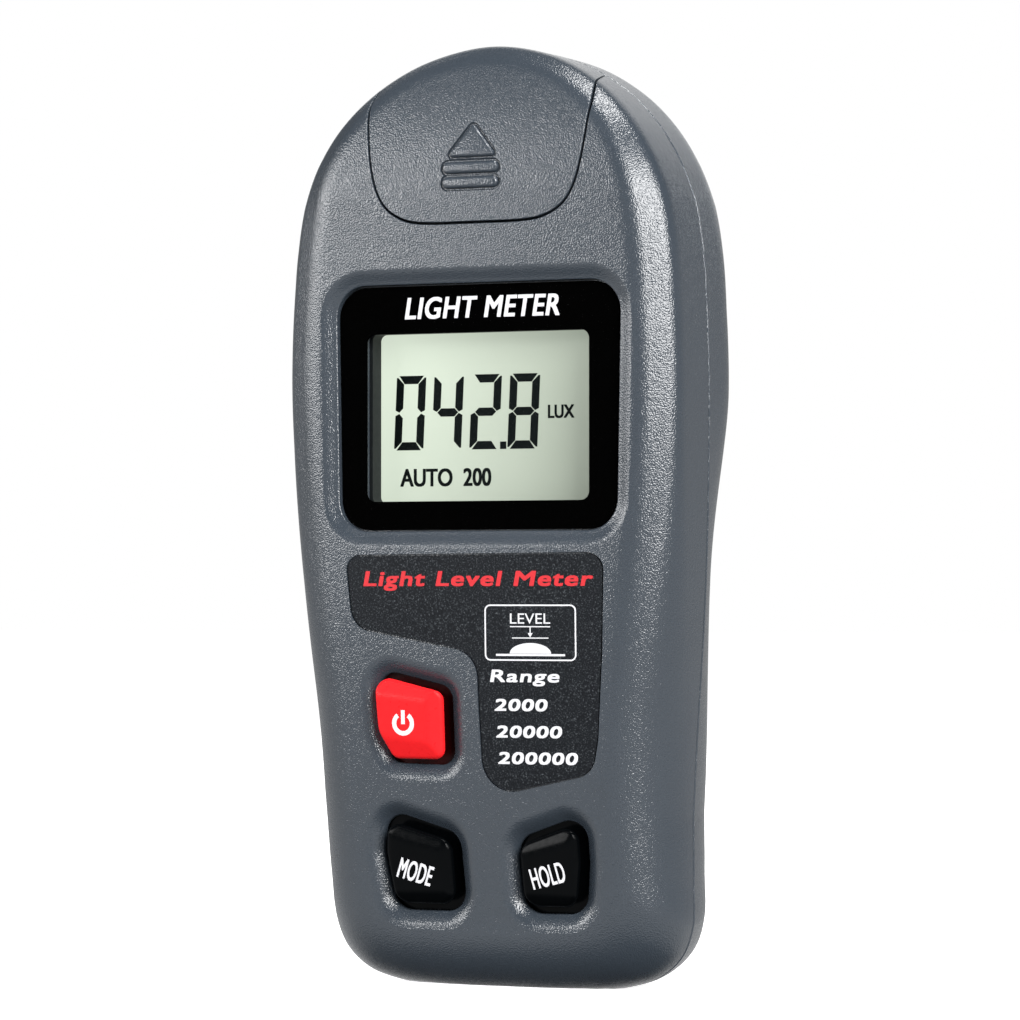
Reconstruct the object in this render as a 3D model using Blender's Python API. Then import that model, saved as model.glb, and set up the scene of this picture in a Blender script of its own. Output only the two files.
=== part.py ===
"""Handheld light meter, modelled as an assembly of separate pieces.

Frame: the meter stands on its lower end. +Z runs up the long axis, +X is to the right of a person who reads
the display, and the display faces -Y. The origin is on the base, in the middle. Working numbers are in
millimetres, and become metres when a mesh is made.
"""

import math

import bmesh
import bpy
import numpy as np
from mathutils import Vector

MM = 0.001

# ---------------------------------------------------------------- driving dimensions (mm)
LENGTH = 140.0          # Z, base to top
FRONT = -14.5           # Y of the face plane
BACK = 14.5             # Y of the back plane
SEAM = -0.5             # Y of the parting plane between the two shells
GAP = 0.3               # clearance between neighbouring pieces
WALL = 2.0
SEG = 2                 # steps of the outer outline between two stations

# stations up the half outline: outline (x, z), front crease (x, z), back-plane edge (x, z)
STATIONS = [
    ((0.0, -0.8), (0.0, 9.6), (0.0, 8.4)),
    ((10.0, -0.65), (6.5, 9.7), (7.0, 8.5)),
    ((18.0, 0.15), (11.3, 10.1), (12.3, 8.9)),
    ((23.0, 1.8), (14.6, 11.0), (16.0, 10.2)),
    ((26.3, 4.8), (16.9, 12.6), (18.2, 12.4)),
    ((28.0, 9.0), (18.2, 15.3), (19.1, 15.6)),
    ((28.6, 16.0), (18.6, 20.5), (19.4, 21.0)),
    ((29.1, 27.0), (19.0, 29.0), (19.6, 29.5)),
    ((29.8, 39.0), (20.1, 39.8), (20.3, 40.0)),
    ((30.7, 52.0), (22.3, 52.3), (21.3, 52.5)),
    ((31.4, 66.0), (24.6, 66.0), (22.2, 66.0)),
    ((31.8, 80.0), (26.3, 80.0), (22.9, 80.0)),
    ((31.9, 90.0), (26.6, 90.0), (23.0, 90.0)),
    ((31.5, 100.0), (26.2, 99.7), (22.7, 99.0)),
    ((30.6, 109.0), (25.4, 107.8), (21.9, 106.5)),
    ((29.1, 116.0), (24.4, 114.2), (20.7, 112.3)),
    ((26.7, 122.5), (23.1, 120.3), (18.9, 117.6)),
    ((22.9, 128.8), (20.4, 126.5), (16.2, 122.6)),
    ((17.5, 134.0), (15.8, 131.7), (12.4, 126.7)),
    ((10.0, 138.1), (9.1, 135.7), (7.1, 129.9)),
    ((0.0, 140.0), (0.0, 137.5), (0.0, 131.2)),
]
# the front edge, from the parting plane (first) to the crease (last): share of the way in, share of the depth
BEVEL_STEPS = [(0.0, 0.0, 1.0), (0.25, 0.04, 0.36), (0.40, 0.10, 0.26), (0.55, 0.22, 0.20),
               (0.70, 0.43, 0.14), (0.82, 0.63, 0.088), (0.92, 0.82, 0.040), (1.0, 1.0, 0.0)]
INNER_STEPS = [BEVEL_STEPS[i] for i in (0, 1, 3, 5, 7)]
BACK_STEPS = [0.0, 0.35, 0.55, 0.70, 0.82, 0.91, 0.97, 1.0]

WINDOW = [(-22.85, 103.5), (22.85, 103.5), (22.25, 67.5), (-22.25, 67.5)]
WINDOW_R = 4.5
LENS_Y = (-13.5, -12.7)
MASK_Y = (-12.5, -12.2)
LEDGE_Y = (-11.9, -10.4)
LCD_OPENING = (-19.0, 18.3, 71.2, 97.0)      # x0, x1, z0, z1
LCD_Y = (-7.2, -5.4)
PCB_Y = (-2.6, -1.0)
SWITCH_Y = (-6.4, -2.9)

POWER = [(-16.6, 46.2), (-5.3, 43.7), (-4.9, 33.8), (-16.2, 34.1)]
POWER_R = 1.7
MODE = [(-15.1, 25.4), (-3.1, 22.0), (-2.6, 11.9), (-14.3, 11.9), (-15.8, 20.0)]
HOLD = [(6.1, 21.7), (16.4, 25.4), (16.8, 19.0), (16.0, 12.1), (6.6, 12.0)]
KEY_R = 2.4
POWER_C = (-10.8, 39.4)
MODE_C = (-9.0, 17.9)
HOLD_C = (11.4, 17.9)
KEY_TRAVEL = 0.9

LABEL = [(-20.9, 63.6), (20.6, 63.9), (20.3, 49.9), (19.3, 37.0), (18.4, 32.4), (5.0, 28.8), (0.6, 34.0),
         (0.3, 49.4), (-19.8, 53.2)]
LABEL_R = [2.0, 2.6, 12.0, 12.0, 3.2, 3.2, 5.0, 5.0, 3.6]

# the sensor cap's edge on the front, from its lower middle to where it leaves the outline
CAP_EDGE = [(0.0, 112.5), (9.0, 112.5), (12.3, 113.4), (14.8, 115.2), (16.3, 118.1), (17.2, 122.0),
            (18.1, 126.0), (19.0, 130.0), (19.9, 134.0), (21.2, 141.5)]
CAP_TRAVEL = 32.0
CAP_SKIN = 1.8
DECK_Y = (-7.2, -5.2)
DOME_Z = 123.0
DOME_R = 8.4

CELL_R = 5.2
CELL_X = (-11.5, 0.0, 11.5)
CELL_Y = 7.2
BAY_X = 17.5
BAY_Z = (13.8, 66.8)
BAY_Y0 = 1.5
BAY_WALL = 1.2
DOOR_X = 18.8
DOOR_Z = (10.4, 70.5)
DOOR_Y = 12.7
HINGE = (13.4, 69.4)     # y, z of the battery door's axis
HINGE_R = 1.1

PCB_SCREWS = [(-14.0, 8.0), (14.0, 8.0), (-14.0, 105.8), (14.0, 105.8)]
CASE_SCREWS = [(-21.3, 9.8), (21.3, 9.8), (-22.8, 108.5), (22.8, 108.5)]


# ---------------------------------------------------------------- scene and materials
for item in list(bpy.data.objects):
    bpy.data.objects.remove(item, do_unlink=True)


def material(name, colour, roughness, metallic=0.0, alpha=1.0):
    mat = bpy.data.materials.new(name)
    mat.use_nodes = True
    shader = mat.node_tree.nodes["Principled BSDF"]
    shader.inputs["Base Color"].default_value = (*colour, 1.0)
    shader.inputs["Roughness"].default_value = roughness
    shader.inputs["Metallic"].default_value = metallic
    shader.inputs["Alpha"].default_value = alpha
    mat.diffuse_color = (*colour, 1.0)
    mat.roughness = roughness
    return mat


GREY = material("case_grey", (0.085, 0.09, 0.105), 0.5)
BLACK = material("black_plastic", (0.012, 0.012, 0.013), 0.35)
LENS = material("clear_lens", (0.6, 0.62, 0.62), 0.05, alpha=0.3)
LABEL_M = material("label_film", (0.03, 0.03, 0.034), 0.6)
RED = material("red_key", (0.62, 0.02, 0.02), 0.35)
LCD_M = material("lcd", (0.5, 0.56, 0.5), 0.3)
BOARD = material("circuit_board", (0.01, 0.12, 0.05), 0.5)
CHIP = material("chip", (0.01, 0.01, 0.012), 0.4)
STEEL = material("zinc_steel", (0.55, 0.56, 0.57), 0.35, 1.0)
BRASS = material("contact_metal", (0.62, 0.6, 0.52), 0.3, 1.0)
WHITE = material("diffuser", (0.85, 0.85, 0.83), 0.5)
FILTER = material("filter_glass", (0.05, 0.25, 0.2), 0.1)
RUBBER = material("zebra_rubber", (0.05, 0.05, 0.05), 0.7)
CELL_M = material("cell_wrap", (0.03, 0.05, 0.12), 0.4)
WIRE_R = material("wire_red", (0.6, 0.02, 0.02), 0.5)
WIRE_B = material("wire_black", (0.02, 0.02, 0.02), 0.5)
FLEX = material("flex_film", (0.45, 0.2, 0.04), 0.4)


# ---------------------------------------------------------------- mesh helpers
def outward(mesh):
    bm = bmesh.new()
    bm.from_mesh(mesh)
    bmesh.ops.remove_doubles(bm, verts=bm.verts, dist=2e-6)
    bmesh.ops.recalc_face_normals(bm, faces=bm.faces)
    volume = bm.calc_volume(signed=True)
    if volume < 0:
        bmesh.ops.reverse_faces(bm, faces=bm.faces)
    bm.to_mesh(mesh)
    bm.free()


def solid(name, points, faces, mat=None):
    """An object from points in millimetres."""
    mesh = bpy.data.meshes.new(name)
    mesh.from_pydata([(p[0] * MM, p[1] * MM, p[2] * MM) for p in points], [], faces)
    outward(mesh)
    obj = bpy.data.objects.new(name, mesh)
    bpy.context.scene.collection.objects.link(obj)
    if mat:
        mesh.materials.append(mat)
    return obj


def loft(name, rings, mat=None, first_cap=True, last_cap=True, extra_points=(), extra_faces=()):
    """A closed solid through rings of equal length."""
    n = len(rings[0])
    points = [p for ring in rings for p in ring]
    faces = []
    for k in range(len(rings) - 1):
        for i in range(n):
            j = (i + 1) % n
            faces.append((k * n + i, k * n + j, (k + 1) * n + j, (k + 1) * n + i))
    if first_cap:
        faces.append(tuple(range(n)))
    if last_cap:
        faces.append(tuple(range((len(rings) - 1) * n, len(rings) * n)))
    points += list(extra_points)
    faces += list(extra_faces)
    return solid(name, points, faces, mat)


def prism(name, outline, y0, y1, mat=None):
    """An (x, z) outline extruded along Y."""
    return loft(name, [[(x, y0, z) for x, z in outline], [(x, y1, z) for x, z in outline]], mat)


def box(name, x0, x1, y0, y1, z0, z1, mat=None):
    return prism(name, [(x0, z0), (x1, z0), (x1, z1), (x0, z1)], y0, y1, mat)


def turned(name, profile, cx, cz, steps, mat=None):
    """A profile of (radius, y) turned about an axis along Y. A radius of 0 makes a pole."""
    points, rows, faces = [], [], []
    for radius, y in profile:
        if radius == 0:
            rows.append([len(points)])
            points.append((cx, y, cz))
        else:
            rows.append(list(range(len(points), len(points) + steps)))
            points += [(cx + radius * math.cos(2 * math.pi * k / steps), y,
                        cz + radius * math.sin(2 * math.pi * k / steps)) for k in range(steps)]
    for a, b in zip(rows, rows[1:]):
        if len(a) == len(b) == 1:       # the axis itself carries no face
            continue
        for k in range(steps):
            m = (k + 1) % steps
            if len(a) == 1:
                faces.append((a[0], b[k], b[m]))
            elif len(b) == 1:
                faces.append((a[k], a[m], b[0]))
            else:
                faces.append((a[k], a[m], b[m], b[k]))
    if profile[0] != profile[-1]:       # a loop closes on itself, an open profile gets end faces
        for row in (rows[0], rows[-1]):
            if len(row) > 1:
                faces.append(tuple(row))
    return solid(name, points, faces, mat)


def disc(name, cx, cz, radius, y0, y1, steps=24, mat=None):
    return turned(name, [(radius, y0), (radius, y1)], cx, cz, steps, mat)


def remove(obj):
    mesh = obj.data
    bpy.data.objects.remove(obj, do_unlink=True)
    if mesh.users == 0:
        bpy.data.meshes.remove(mesh)


def combine(target, other, operation, keep=False):
    """Applies one exact Boolean to target, and clears the tool away unless it is kept."""
    mod = target.modifiers.new("Boolean", "BOOLEAN")
    mod.operation = operation
    mod.object = other
    mod.solver = "EXACT"
    bpy.context.view_layer.update()
    graph = bpy.context.evaluated_depsgraph_get()
    mesh = bpy.data.meshes.new_from_object(target.evaluated_get(graph))
    target.modifiers.clear()
    mats = [m for m in target.data.materials]
    old = target.data
    name = old.name
    target.data = mesh
    bpy.data.meshes.remove(old)
    mesh.name = name
    mesh.materials.clear()
    for m in mats[:1]:
        mesh.materials.append(m)
    outward(mesh)
    if not keep:
        remove(other)
    return target


def cut(target, *tools, keep=False):
    for tool in tools:
        combine(target, tool, "DIFFERENCE", keep)
    return target


def join(target, *tools):
    for tool in tools:
        combine(target, tool, "UNION")
    return target


def common(target, other, keep=False):
    return combine(target, other, "INTERSECT", keep)


def rounded(corners, radius, steps=4):
    """A closed outline with its corners rounded; radius is one number or one for each corner."""
    radii = radius if isinstance(radius, (list, tuple)) else [radius] * len(corners)
    out = []
    n = len(corners)
    for i in range(n):
        a, b, c = (Vector(corners[(i + k) % n]) for k in (-1, 0, 1))
        u, v = (a - b), (c - b)
        lu, lv = u.length, v.length
        u.normalize()
        v.normalize()
        half = math.acos(max(-1, min(1, u.dot(v)))) / 2
        reach = min(radii[i] / math.tan(half), 0.48 * lu, 0.48 * lv)
        r = reach * math.tan(half)
        centre = b + (u + v).normalized() * (r / math.sin(half))
        p, q = b + u * reach - centre, b + v * reach - centre
        start = math.atan2(p.y, p.x)
        turn = (math.atan2(q.y, q.x) - start + math.pi) % (2 * math.pi) - math.pi
        for k in range(steps + 1):
            t = start + turn * k / steps
            out.append((centre.x + r * math.cos(t), centre.y + r * math.sin(t)))
    return out


def grown(outline, d):
    """The outline moved outward by d (inward when d is negative)."""
    pts = np.array(outline, float)
    area = 0.5 * np.sum(pts[:, 0] * np.roll(pts[:, 1], -1) - np.roll(pts[:, 0], -1) * pts[:, 1])
    sign = 1.0 if area > 0 else -1.0
    before, after = pts - np.roll(pts, 1, 0), np.roll(pts, -1, 0) - pts
    before /= np.linalg.norm(before, axis=1)[:, None]
    after /= np.linalg.norm(after, axis=1)[:, None]
    n1 = np.stack([before[:, 1], -before[:, 0]], 1) * sign
    n2 = np.stack([after[:, 1], -after[:, 0]], 1) * sign
    mid = n1 + n2
    mid /= np.linalg.norm(mid, axis=1)[:, None]
    scale = d / np.maximum(np.sum(mid * n1, axis=1), 0.35)
    return [tuple(p) for p in pts + mid * scale[:, None]]


# ---------------------------------------------------------------- the case's form
def smooth(a, b, x):
    t = min(max((x - a) / (b - a), 0.0), 1.0)
    return t * t * (3 - 2 * t)


def spline(points, steps):
    """A curve through the points, level at both ends, with steps samples between neighbours."""
    p = [Vector(q) for q in points]
    knot = [0.0]
    for a, b in zip(p, p[1:]):
        knot.append(knot[-1] + math.sqrt((b - a).length))
    slopes = []
    for i in range(len(p)):
        if i == 0:
            slopes.append(Vector((1, 0)) * ((p[1] - p[0]).length / (knot[1] - knot[0])))
        elif i == len(p) - 1:
            slopes.append(Vector((-1, 0)) * ((p[-1] - p[-2]).length / (knot[-1] - knot[-2])))
        else:
            ha, hb = knot[i] - knot[i - 1], knot[i + 1] - knot[i]
            a, b = (p[i] - p[i - 1]) / ha, (p[i + 1] - p[i]) / hb
            slopes.append((a * hb + b * ha) / (ha + hb))
    out = []
    for i in range(len(p) - 1):
        h = knot[i + 1] - knot[i]
        for k in range(steps):
            t = k / steps
            out.append((2 * t**3 - 3 * t**2 + 1) * p[i] + (t**3 - 2 * t**2 + t) * h * slopes[i]
                       + (-2 * t**3 + 3 * t**2) * p[i + 1] + (t**3 - t**2) * h * slopes[i + 1])
    out.append(p[-1])
    return out


def both_sides(half):
    """The whole outline from its right half: up the right side from the base, down the left."""
    return half + [Vector((-q.x, q.y)) for q in half[-2:0:-1]]


def face_y(x, z):
    """Y of the front face: flat in the middle, turning back towards both ends, with a slight crown."""
    y = FRONT + 0.35 * (x / 26.0) ** 2
    if z > 116.0:
        y += (z - 116.0) ** 2 / 125.0
    if z < 62.0:
        y += (62.0 - z) ** 2 / 780.0
    return y


def normals_in(pts):
    out = []
    n = len(pts)
    for i in range(n):
        d = pts[(i + 1) % n] - pts[i - 1]
        d.normalize()
        out.append(Vector((-d.y, d.x)))
    return out


def front_solid(name, inset, steps, edge, past=0.0, mat=None):
    """The front half as a solid, all round smaller by inset. past carries it over the parting plane."""
    outer = both_sides(spline([s[0] for s in STATIONS], steps))
    crease = both_sides(spline([s[1] for s in STATIONS], steps))
    inward = normals_in(outer)
    n = len(outer)
    rings = []
    for u, share_in, share_deep in edge:
        ring = []
        for p, c, normal in zip(outer, crease, inward):
            soft = 1 - smooth(30, 86, p.y)
            q0, q1 = p + normal * inset, c + normal * inset * 0.45
            a = (1 - soft) * share_in + soft * (1 - math.cos(u * math.pi / 2))
            d = (1 - soft) * share_deep + soft * (1 - math.sin(u * math.pi / 2))
            top = face_y(c.x, c.y) + inset
            q = q0 + (q1 - q0) * a
            ring.append((q.x, top + (SEAM - top) * d, max(q.y, inset)))
        rings.append(ring)
    if past:
        rings.insert(0, [(x, SEAM + past, z) for x, y, z in rings[0]])
    # the face inside the crease: rows across, from the lower middle to the upper middle
    base = (len(rings) - 1) * n
    half, columns = n // 2, 6
    points, faces, rows = [], [], []
    total = len(rings) * n
    last = rings[-1]
    for j in range(half + 1):
        right, left = base + j, base + (n - j) % n
        if j in (0, half):
            rows.append([right])
            continue
        row = [right]
        for k in range(1, columns):
            x = last[j][0] * (1 - 2 * k / columns)
            row.append(total + len(points))
            points.append((x, face_y(x, last[j][2]) + inset, last[j][2]))
        rows.append(row + [left])
    for a, b in zip(rows, rows[1:]):
        if len(a) == 1:
            faces += [(a[0], b[k], b[k + 1]) for k in range(columns)]
        elif len(b) == 1:
            faces += [(a[k], b[0], a[k + 1]) for k in range(columns)]
        else:
            faces += [(a[k], b[k], b[k + 1], a[k + 1]) for k in range(columns)]
    return loft(name, rings, mat, True, False, points, faces)


def rear_solid(name, inset, steps, edge, past=0.0, start=SEAM + GAP, mat=None):
    outer = both_sides(spline([s[0] for s in STATIONS], steps))
    back = both_sides(spline([s[2] for s in STATIONS], steps))
    inward = normals_in(outer)
    rings = []
    for d in edge:
        ring = []
        for p, b, normal in zip(outer, back, inward):
            draft = 0.36 * (1 - smooth(60, 88, p.y)) * smooth(2, 14, p.y)
            hold = 0.40 * smooth(60, 92, p.y)          # upper half: straight side first, then the round
            e = max(0.0, (d - hold) / (1 - hold))
            a = draft * d + (1 - draft) * (1 - math.sqrt(max(0.0, 1 - e * e)))
            q0, q1 = p + normal * inset, b + normal * inset * 0.45
            q = q0 + (q1 - q0) * a
            ring.append((q.x, start + (BACK - inset - start) * d, max(q.y, inset)))
        rings.append(ring)
    if past:
        rings.insert(0, [(x, start - past, z) for x, y, z in rings[0]])
    return loft(name, rings, mat)


def face_slab(name, x0, x1, z0, z1, front, back):
    """A slab that follows the front face, from face + front to face + back."""
    nx, nz = 8, max(2, int(round((z1 - z0) / 4.0)))
    points, faces = [], []
    for off in (front, back):
        for j in range(nz + 1):
            for i in range(nx + 1):
                x, z = x0 + (x1 - x0) * i / nx, z0 + (z1 - z0) * j / nz
                points.append((x, face_y(x, z) + off, z))
    layer = (nx + 1) * (nz + 1)
    at = lambda s, i, j: s * layer + j * (nx + 1) + i
    for s in (0, 1):
        for j in range(nz):
            for i in range(nx):
                faces.append((at(s, i, j), at(s, i + 1, j), at(s, i + 1, j + 1), at(s, i, j + 1)))
    for j in range(nz):
        faces.append((at(0, 0, j), at(0, 0, j + 1), at(1, 0, j + 1), at(1, 0, j)))
        faces.append((at(0, nx, j), at(0, nx, j + 1), at(1, nx, j + 1), at(1, nx, j)))
    for i in range(nx):
        faces.append((at(0, i, 0), at(0, i + 1, 0), at(1, i + 1, 0), at(1, i, 0)))
        faces.append((at(0, i, nz), at(0, i + 1, nz), at(1, i + 1, nz), at(1, i, nz)))
    return solid(name, points, faces)


def cap_outline(d):
    """The sensor cap's plan, made wider by d (narrower when negative)."""
    right = [(x, z) for x, z in CAP_EDGE]
    plan = right + [(right[-1][0], 150.0), (-right[-1][0], 150.0)] + [(-x, z) for x, z in right[:0:-1]]
    return grown(plan, d)


# ---------------------------------------------------------------- keys
def key_outline(corners, radius, d=0.0):
    return grown(rounded(corners, radius, 3), d)


def key(name, corners, radius, centre, proud, mat):
    """A key: a shaped head through the face, a flange behind it and a boss that presses its switch."""
    cx, cz = centre
    tilt = (face_y(cx, cz + 5) - face_y(cx, cz - 5)) / 10

    def ring(plan, depth):
        """The plan laid parallel to the face, depth behind it."""
        return [(x, face_y(cx, cz) + depth + tilt * (z - cz), z) for x, z in plan]

    plan = key_outline(corners, radius)
    head = [ring(grown(plan, -inset), depth) for inset, depth in
            ((0.0, 2.6), (0.0, -proud * 0.30), (0.35, -proud * 0.72), (1.3, -proud))]
    body = loft(name, head, mat)
    flange = loft("flange", [ring(grown(plan, 0.9), WALL + 0.55), ring(grown(plan, 0.9), WALL + 1.5)])
    boss = disc("boss", cx, cz, 2.4, face_y(cx, cz) + WALL + 1.0, SWITCH_Y[0] - 1.6, 16)
    return join(body, flange, boss)


def key_crater(corners, radius, centre):
    """The dished opening for a key: wide at the face, close to the key below."""
    cx, cz = centre
    rings = []
    for d, off in ((2.3, -1.2), (2.2, 0.0), (1.5, 0.45), (0.75, 0.9), (0.4, 1.15), (0.4, 4.5)):
        rings.append([(x, face_y(x, z) + off if off < 1 else face_y(cx, cz) + off, z)
                      for x, z in key_outline(corners, radius, d)])
    return loft("crater", rings)


# ---------------------------------------------------------------- front shell
front = front_solid("front_case", 0.0, SEG, BEVEL_STEPS, mat=GREY)
cut(front, front_solid("front_hollow", WALL, 2, INNER_STEPS, past=1.0))
middle = front_solid("front_middle", 1.0, 2, INNER_STEPS, past=0.0)

window = rounded(WINDOW, WINDOW_R, 5)
ledge = prism("ledge", grown(window, 2.2), -13.2, LEDGE_Y[1])
features = [ledge]
for x, z in PCB_SCREWS:
    features.append(disc("boss", x, z, 2.3, FRONT, PCB_Y[0] - GAP, 16))
for x, z in CASE_SCREWS:
    features.append(disc("boss", x, z, 2.7, FRONT, SEAM - GAP, 16))
for piece in features:
    common(piece, middle, keep=True)
    join(front, piece)
remove(middle)

cut(front, prism("window_pocket", grown(window, GAP), -20.0, LEDGE_Y[0]))
x0, x1, z0, z1 = LCD_OPENING
cut(front, prism("window_hole", rounded([(x0, z0), (x1, z0), (x1, z1), (x0, z1)], 1.0, 2), -20.0, -8.0))
for corners, radius, centre in ((POWER, POWER_R, POWER_C), (MODE, KEY_R, MODE_C), (HOLD, KEY_R, HOLD_C)):
    cut(front, key_crater(corners, radius, centre))
for x, z in PCB_SCREWS:
    cut(front, disc("bore", x, z, 1.15, -9.0, 1.0, 12))
for x, z in CASE_SCREWS:
    cut(front, disc("bore", x, z, 1.35, max(-9.0, face_y(x, z) + 4.8), 1.0, 12))

label_plan = rounded(LABEL, LABEL_R, 3)
recess = prism("label_recess", grown(label_plan, 0.25), -20.0, -5.0)
common(recess, face_slab("slab", -26, 26, 24, 70, -1.5, 0.65))
cut(front, recess)
label = prism("label_plate", label_plan, -20.0, -5.0, LABEL_M)
common(label, face_slab("slab", -26, 26, 24, 70, 0.0, 0.35))

cut(front, prism("cap_opening", cap_outline(0.15), -30.0, 5.0))

# ---------------------------------------------------------------- sensor cap
cap = front_solid("sensor_cap", 0.0, SEG, BEVEL_STEPS, mat=GREY)
cut(cap, front_solid("cap_hollow", CAP_SKIN, SEG, INNER_STEPS, past=1.0))
common(cap, prism("cap_plan", cap_outline(-0.15), -30.0, 5.0))
# two rails under the edges of the case hold the cap down while it starts to slide
for s in (-1, 1):
    leg = box("leg", min(s * 14.2, s * 15.6), max(s * 14.2, s * 15.6), -13.4, -9.2, 118.6, 124.4)
    foot = box("foot", min(s * 14.4, s * 18.6), max(s * 14.4, s * 18.6), -10.6, -9.2, 118.6, 124.4)
    join(leg, foot)
    join(cap, leg)
# finger arrow, raised on the cap: a triangle that points up the slide over two bars
for k, plan in enumerate((
        [(-4.1, 122.2), (3.1, 122.2), (-0.5, 127.0)],
        rounded([(-4.8, 119.8), (3.8, 119.8), (3.8, 121.2), (-4.8, 121.2)], 0.6, 2),
        rounded([(-4.8, 117.6), (3.8, 117.6), (3.8, 119.0), (-4.8, 119.0)], 0.6, 2))):
    mark = prism("mark", plan, -20.0, -5.0)
    common(mark, face_slab("slab", -12, 12, 114, 130, -0.35, 0.8))
    join(cap, mark)

# ---------------------------------------------------------------- sensor stack under the cap
tray = front_solid("sensor_holder", CAP_SKIN + 0.7, 2, INNER_STEPS, mat=BLACK)
common(tray, box("keep", -24, 24, DECK_Y[0], SEAM - GAP, 111.0, 150.0))
cut(tray, prism("pocket", rounded([(-12.5, 112.6), (12.5, 112.6), (12.5, 126.0), (8.5, 131.6), (-8.5, 131.6),
                                   (-12.5, 126.0)], 2.0, 2), DECK_Y[1], 5.0))
cut(tray, disc("seat", 0, DOME_Z, 9.8, -12.0, DECK_Y[0] + 1.0, 32))
cut(tray, disc("hole", 0, DOME_Z, 5.2, -12.0, 0.0, 24))
for s in (-1, 1):
    cut(tray, disc("clear", s * 22.8, 108.5, 3.2, -12.0, 5.0, 16))

dome_outer = [(DOME_R * math.cos(a), -7.5 - 4.3 * math.sin(a)) for a in
              (math.radians(t) for t in (0, 20, 40, 58, 75))] + [(0.0, -11.8)]
dome_inner = [(0.0, -10.8)] + [((DOME_R - 1.0) * math.cos(a), -6.5 - 4.3 * math.sin(a)) for a in
                               (math.radians(t) for t in (65, 35, 10))]
dome_loop = [(7.2, -6.5), (9.4, -6.5), (9.4, -7.5)] + dome_outer + dome_inner + [(7.2, -6.5)]
turned("sensor_dome", dome_loop, 0, DOME_Z, 24, WHITE)
disc("photopic_filter", 0, DOME_Z, 4.6, -6.2, -5.1, 24, FILTER)
turned("photodiode", [(0, -4.8), (3.4, -4.8), (3.4, -3.2), (4.1, -3.2), (4.1, -2.6), (0, -2.6)], 0, DOME_Z, 20, BRASS)
box("sensor_board", -8, 8, -2.3, -1.3, 114.6, 130.4, BOARD)
box("sensor_ribbon", -3, 3, -0.7, -0.35, 104.5, 119.0, FLEX)

# ---------------------------------------------------------------- display
prism("display_window", window, *LENS_Y, LENS)
mask = prism("display_mask", window, *MASK_Y, BLACK)
cut(mask, prism("hole", rounded([(-18.4, 71.7), (17.7, 71.7), (17.7, 96.5), (-18.4, 96.5)], 1.0, 3), -14, -10))
frame = box("lcd_frame", -22.4, 22.4, -10.1, -2.9, 67.3, 101.2, BLACK)
cut(frame, box("front_hole", -18.9, 18.2, -12, -6.0, 71.3, 96.9),
    box("pocket", -20.8, 20.8, -7.5, 0.0, 69.0, 99.5))
box("lcd_glass", -20.4, 20.4, *LCD_Y, 69.4, 99.1, LCD_M)
box("zebra_strip_top", -18.0, 18.0, -5.1, -2.9, 96.6, 98.6, RUBBER)
box("zebra_strip_bottom", -18.0, 18.0, -5.1, -2.9, 69.9, 71.9, RUBBER)

# ---------------------------------------------------------------- circuit board
board = prism("main_pcb", [(-18.3, 5.2), (18.3, 5.2), (18.3, 13.4), (23.0, 13.4), (23.0, 103.0), (18.3, 104.6),
                           (18.3, 109.4), (-18.3, 109.4), (-18.3, 104.6), (-23.0, 103.0), (-23.0, 13.4),
                           (-18.3, 13.4)], *PCB_Y, BOARD)
for x, z in PCB_SCREWS:
    cut(board, disc("hole", x, z, 1.3, -5, 2, 12))
turned("mcu_chip", [(0, -4.3), (2.5, -4.2), (4.4, -3.7), (5.2, -2.9), (0, -2.9)], 9.0, 52.0, 20, CHIP)
box("amplifier_chip", -3.0, 3.0, -4.5, -2.9, 51.0, 56.0, CHIP)
disc("capacitor", -16.5, 56.0, 2.5, -8.4, -2.9, 16, STEEL)
box("crystal", 13.0, 16.2, -5.2, -2.9, 56.5, 64.5, STEEL)

for label_name, centre in (("power", POWER_C), ("mode", MODE_C), ("hold", HOLD_C)):
    cx, cz = centre
    switch = box("switch_" + label_name, cx - 3, cx + 3, *SWITCH_Y, cz - 3, cz + 3, CHIP)
    cut(switch, disc("hole", cx, cz, 1.95, -9, -4.2, 16))
    disc("plunger_" + label_name, cx, cz, 1.6, SWITCH_Y[0] - 1.3, SWITCH_Y[0] + 1.2, 14, BLACK)

key("power_button", POWER, POWER_R, POWER_C, 1.5, RED)
key("mode_button", MODE, KEY_R, MODE_C, 0.5, BLACK)
key("hold_button", HOLD, KEY_R, HOLD_C, 0.5, BLACK)

# ---------------------------------------------------------------- rear shell and battery bay
rear = rear_solid("rear_case", 0.0, SEG, BACK_STEPS, mat=GREY)
cut(rear, rear_solid("rear_hollow", WALL, 1, BACK_STEPS[::2] + [1.0], past=1.0))
middle = rear_solid("rear_middle", 1.0, 1, BACK_STEPS[::2] + [1.0])
features = [box("bay", -BAY_X - BAY_WALL, BAY_X + BAY_WALL, BAY_Y0 - BAY_WALL, 13.0, BAY_Z[0] - BAY_WALL,
                BAY_Z[1] + BAY_WALL),
            box("ledge", -20.6, 20.6, 10.6, 13.2, 8.8, 72.2)]
for x, z in CASE_SCREWS:
    features.append(disc("boss", x, z, 3.7, 0.1, 14.0, 18))
for piece in features:
    common(piece, middle, keep=True)
    join(rear, piece)
remove(middle)
cut(rear, box("bay_space", -BAY_X, BAY_X, BAY_Y0, 30, *BAY_Z))
door_plan = rounded([(-DOOR_X, DOOR_Z[0]), (DOOR_X, DOOR_Z[0]), (DOOR_X, DOOR_Z[1]), (-DOOR_X, DOOR_Z[1])],
                    [3.0, 3.0, 0.8, 0.8], 3)
cut(rear, prism("door_recess", grown(door_plan, GAP + 0.05), DOOR_Y - GAP, 30),
    box("hinge_relief", -DOOR_X - 0.35, DOOR_X + 0.35, 11.8, 14.0, 67.4, DOOR_Z[1] + 0.35))
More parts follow.
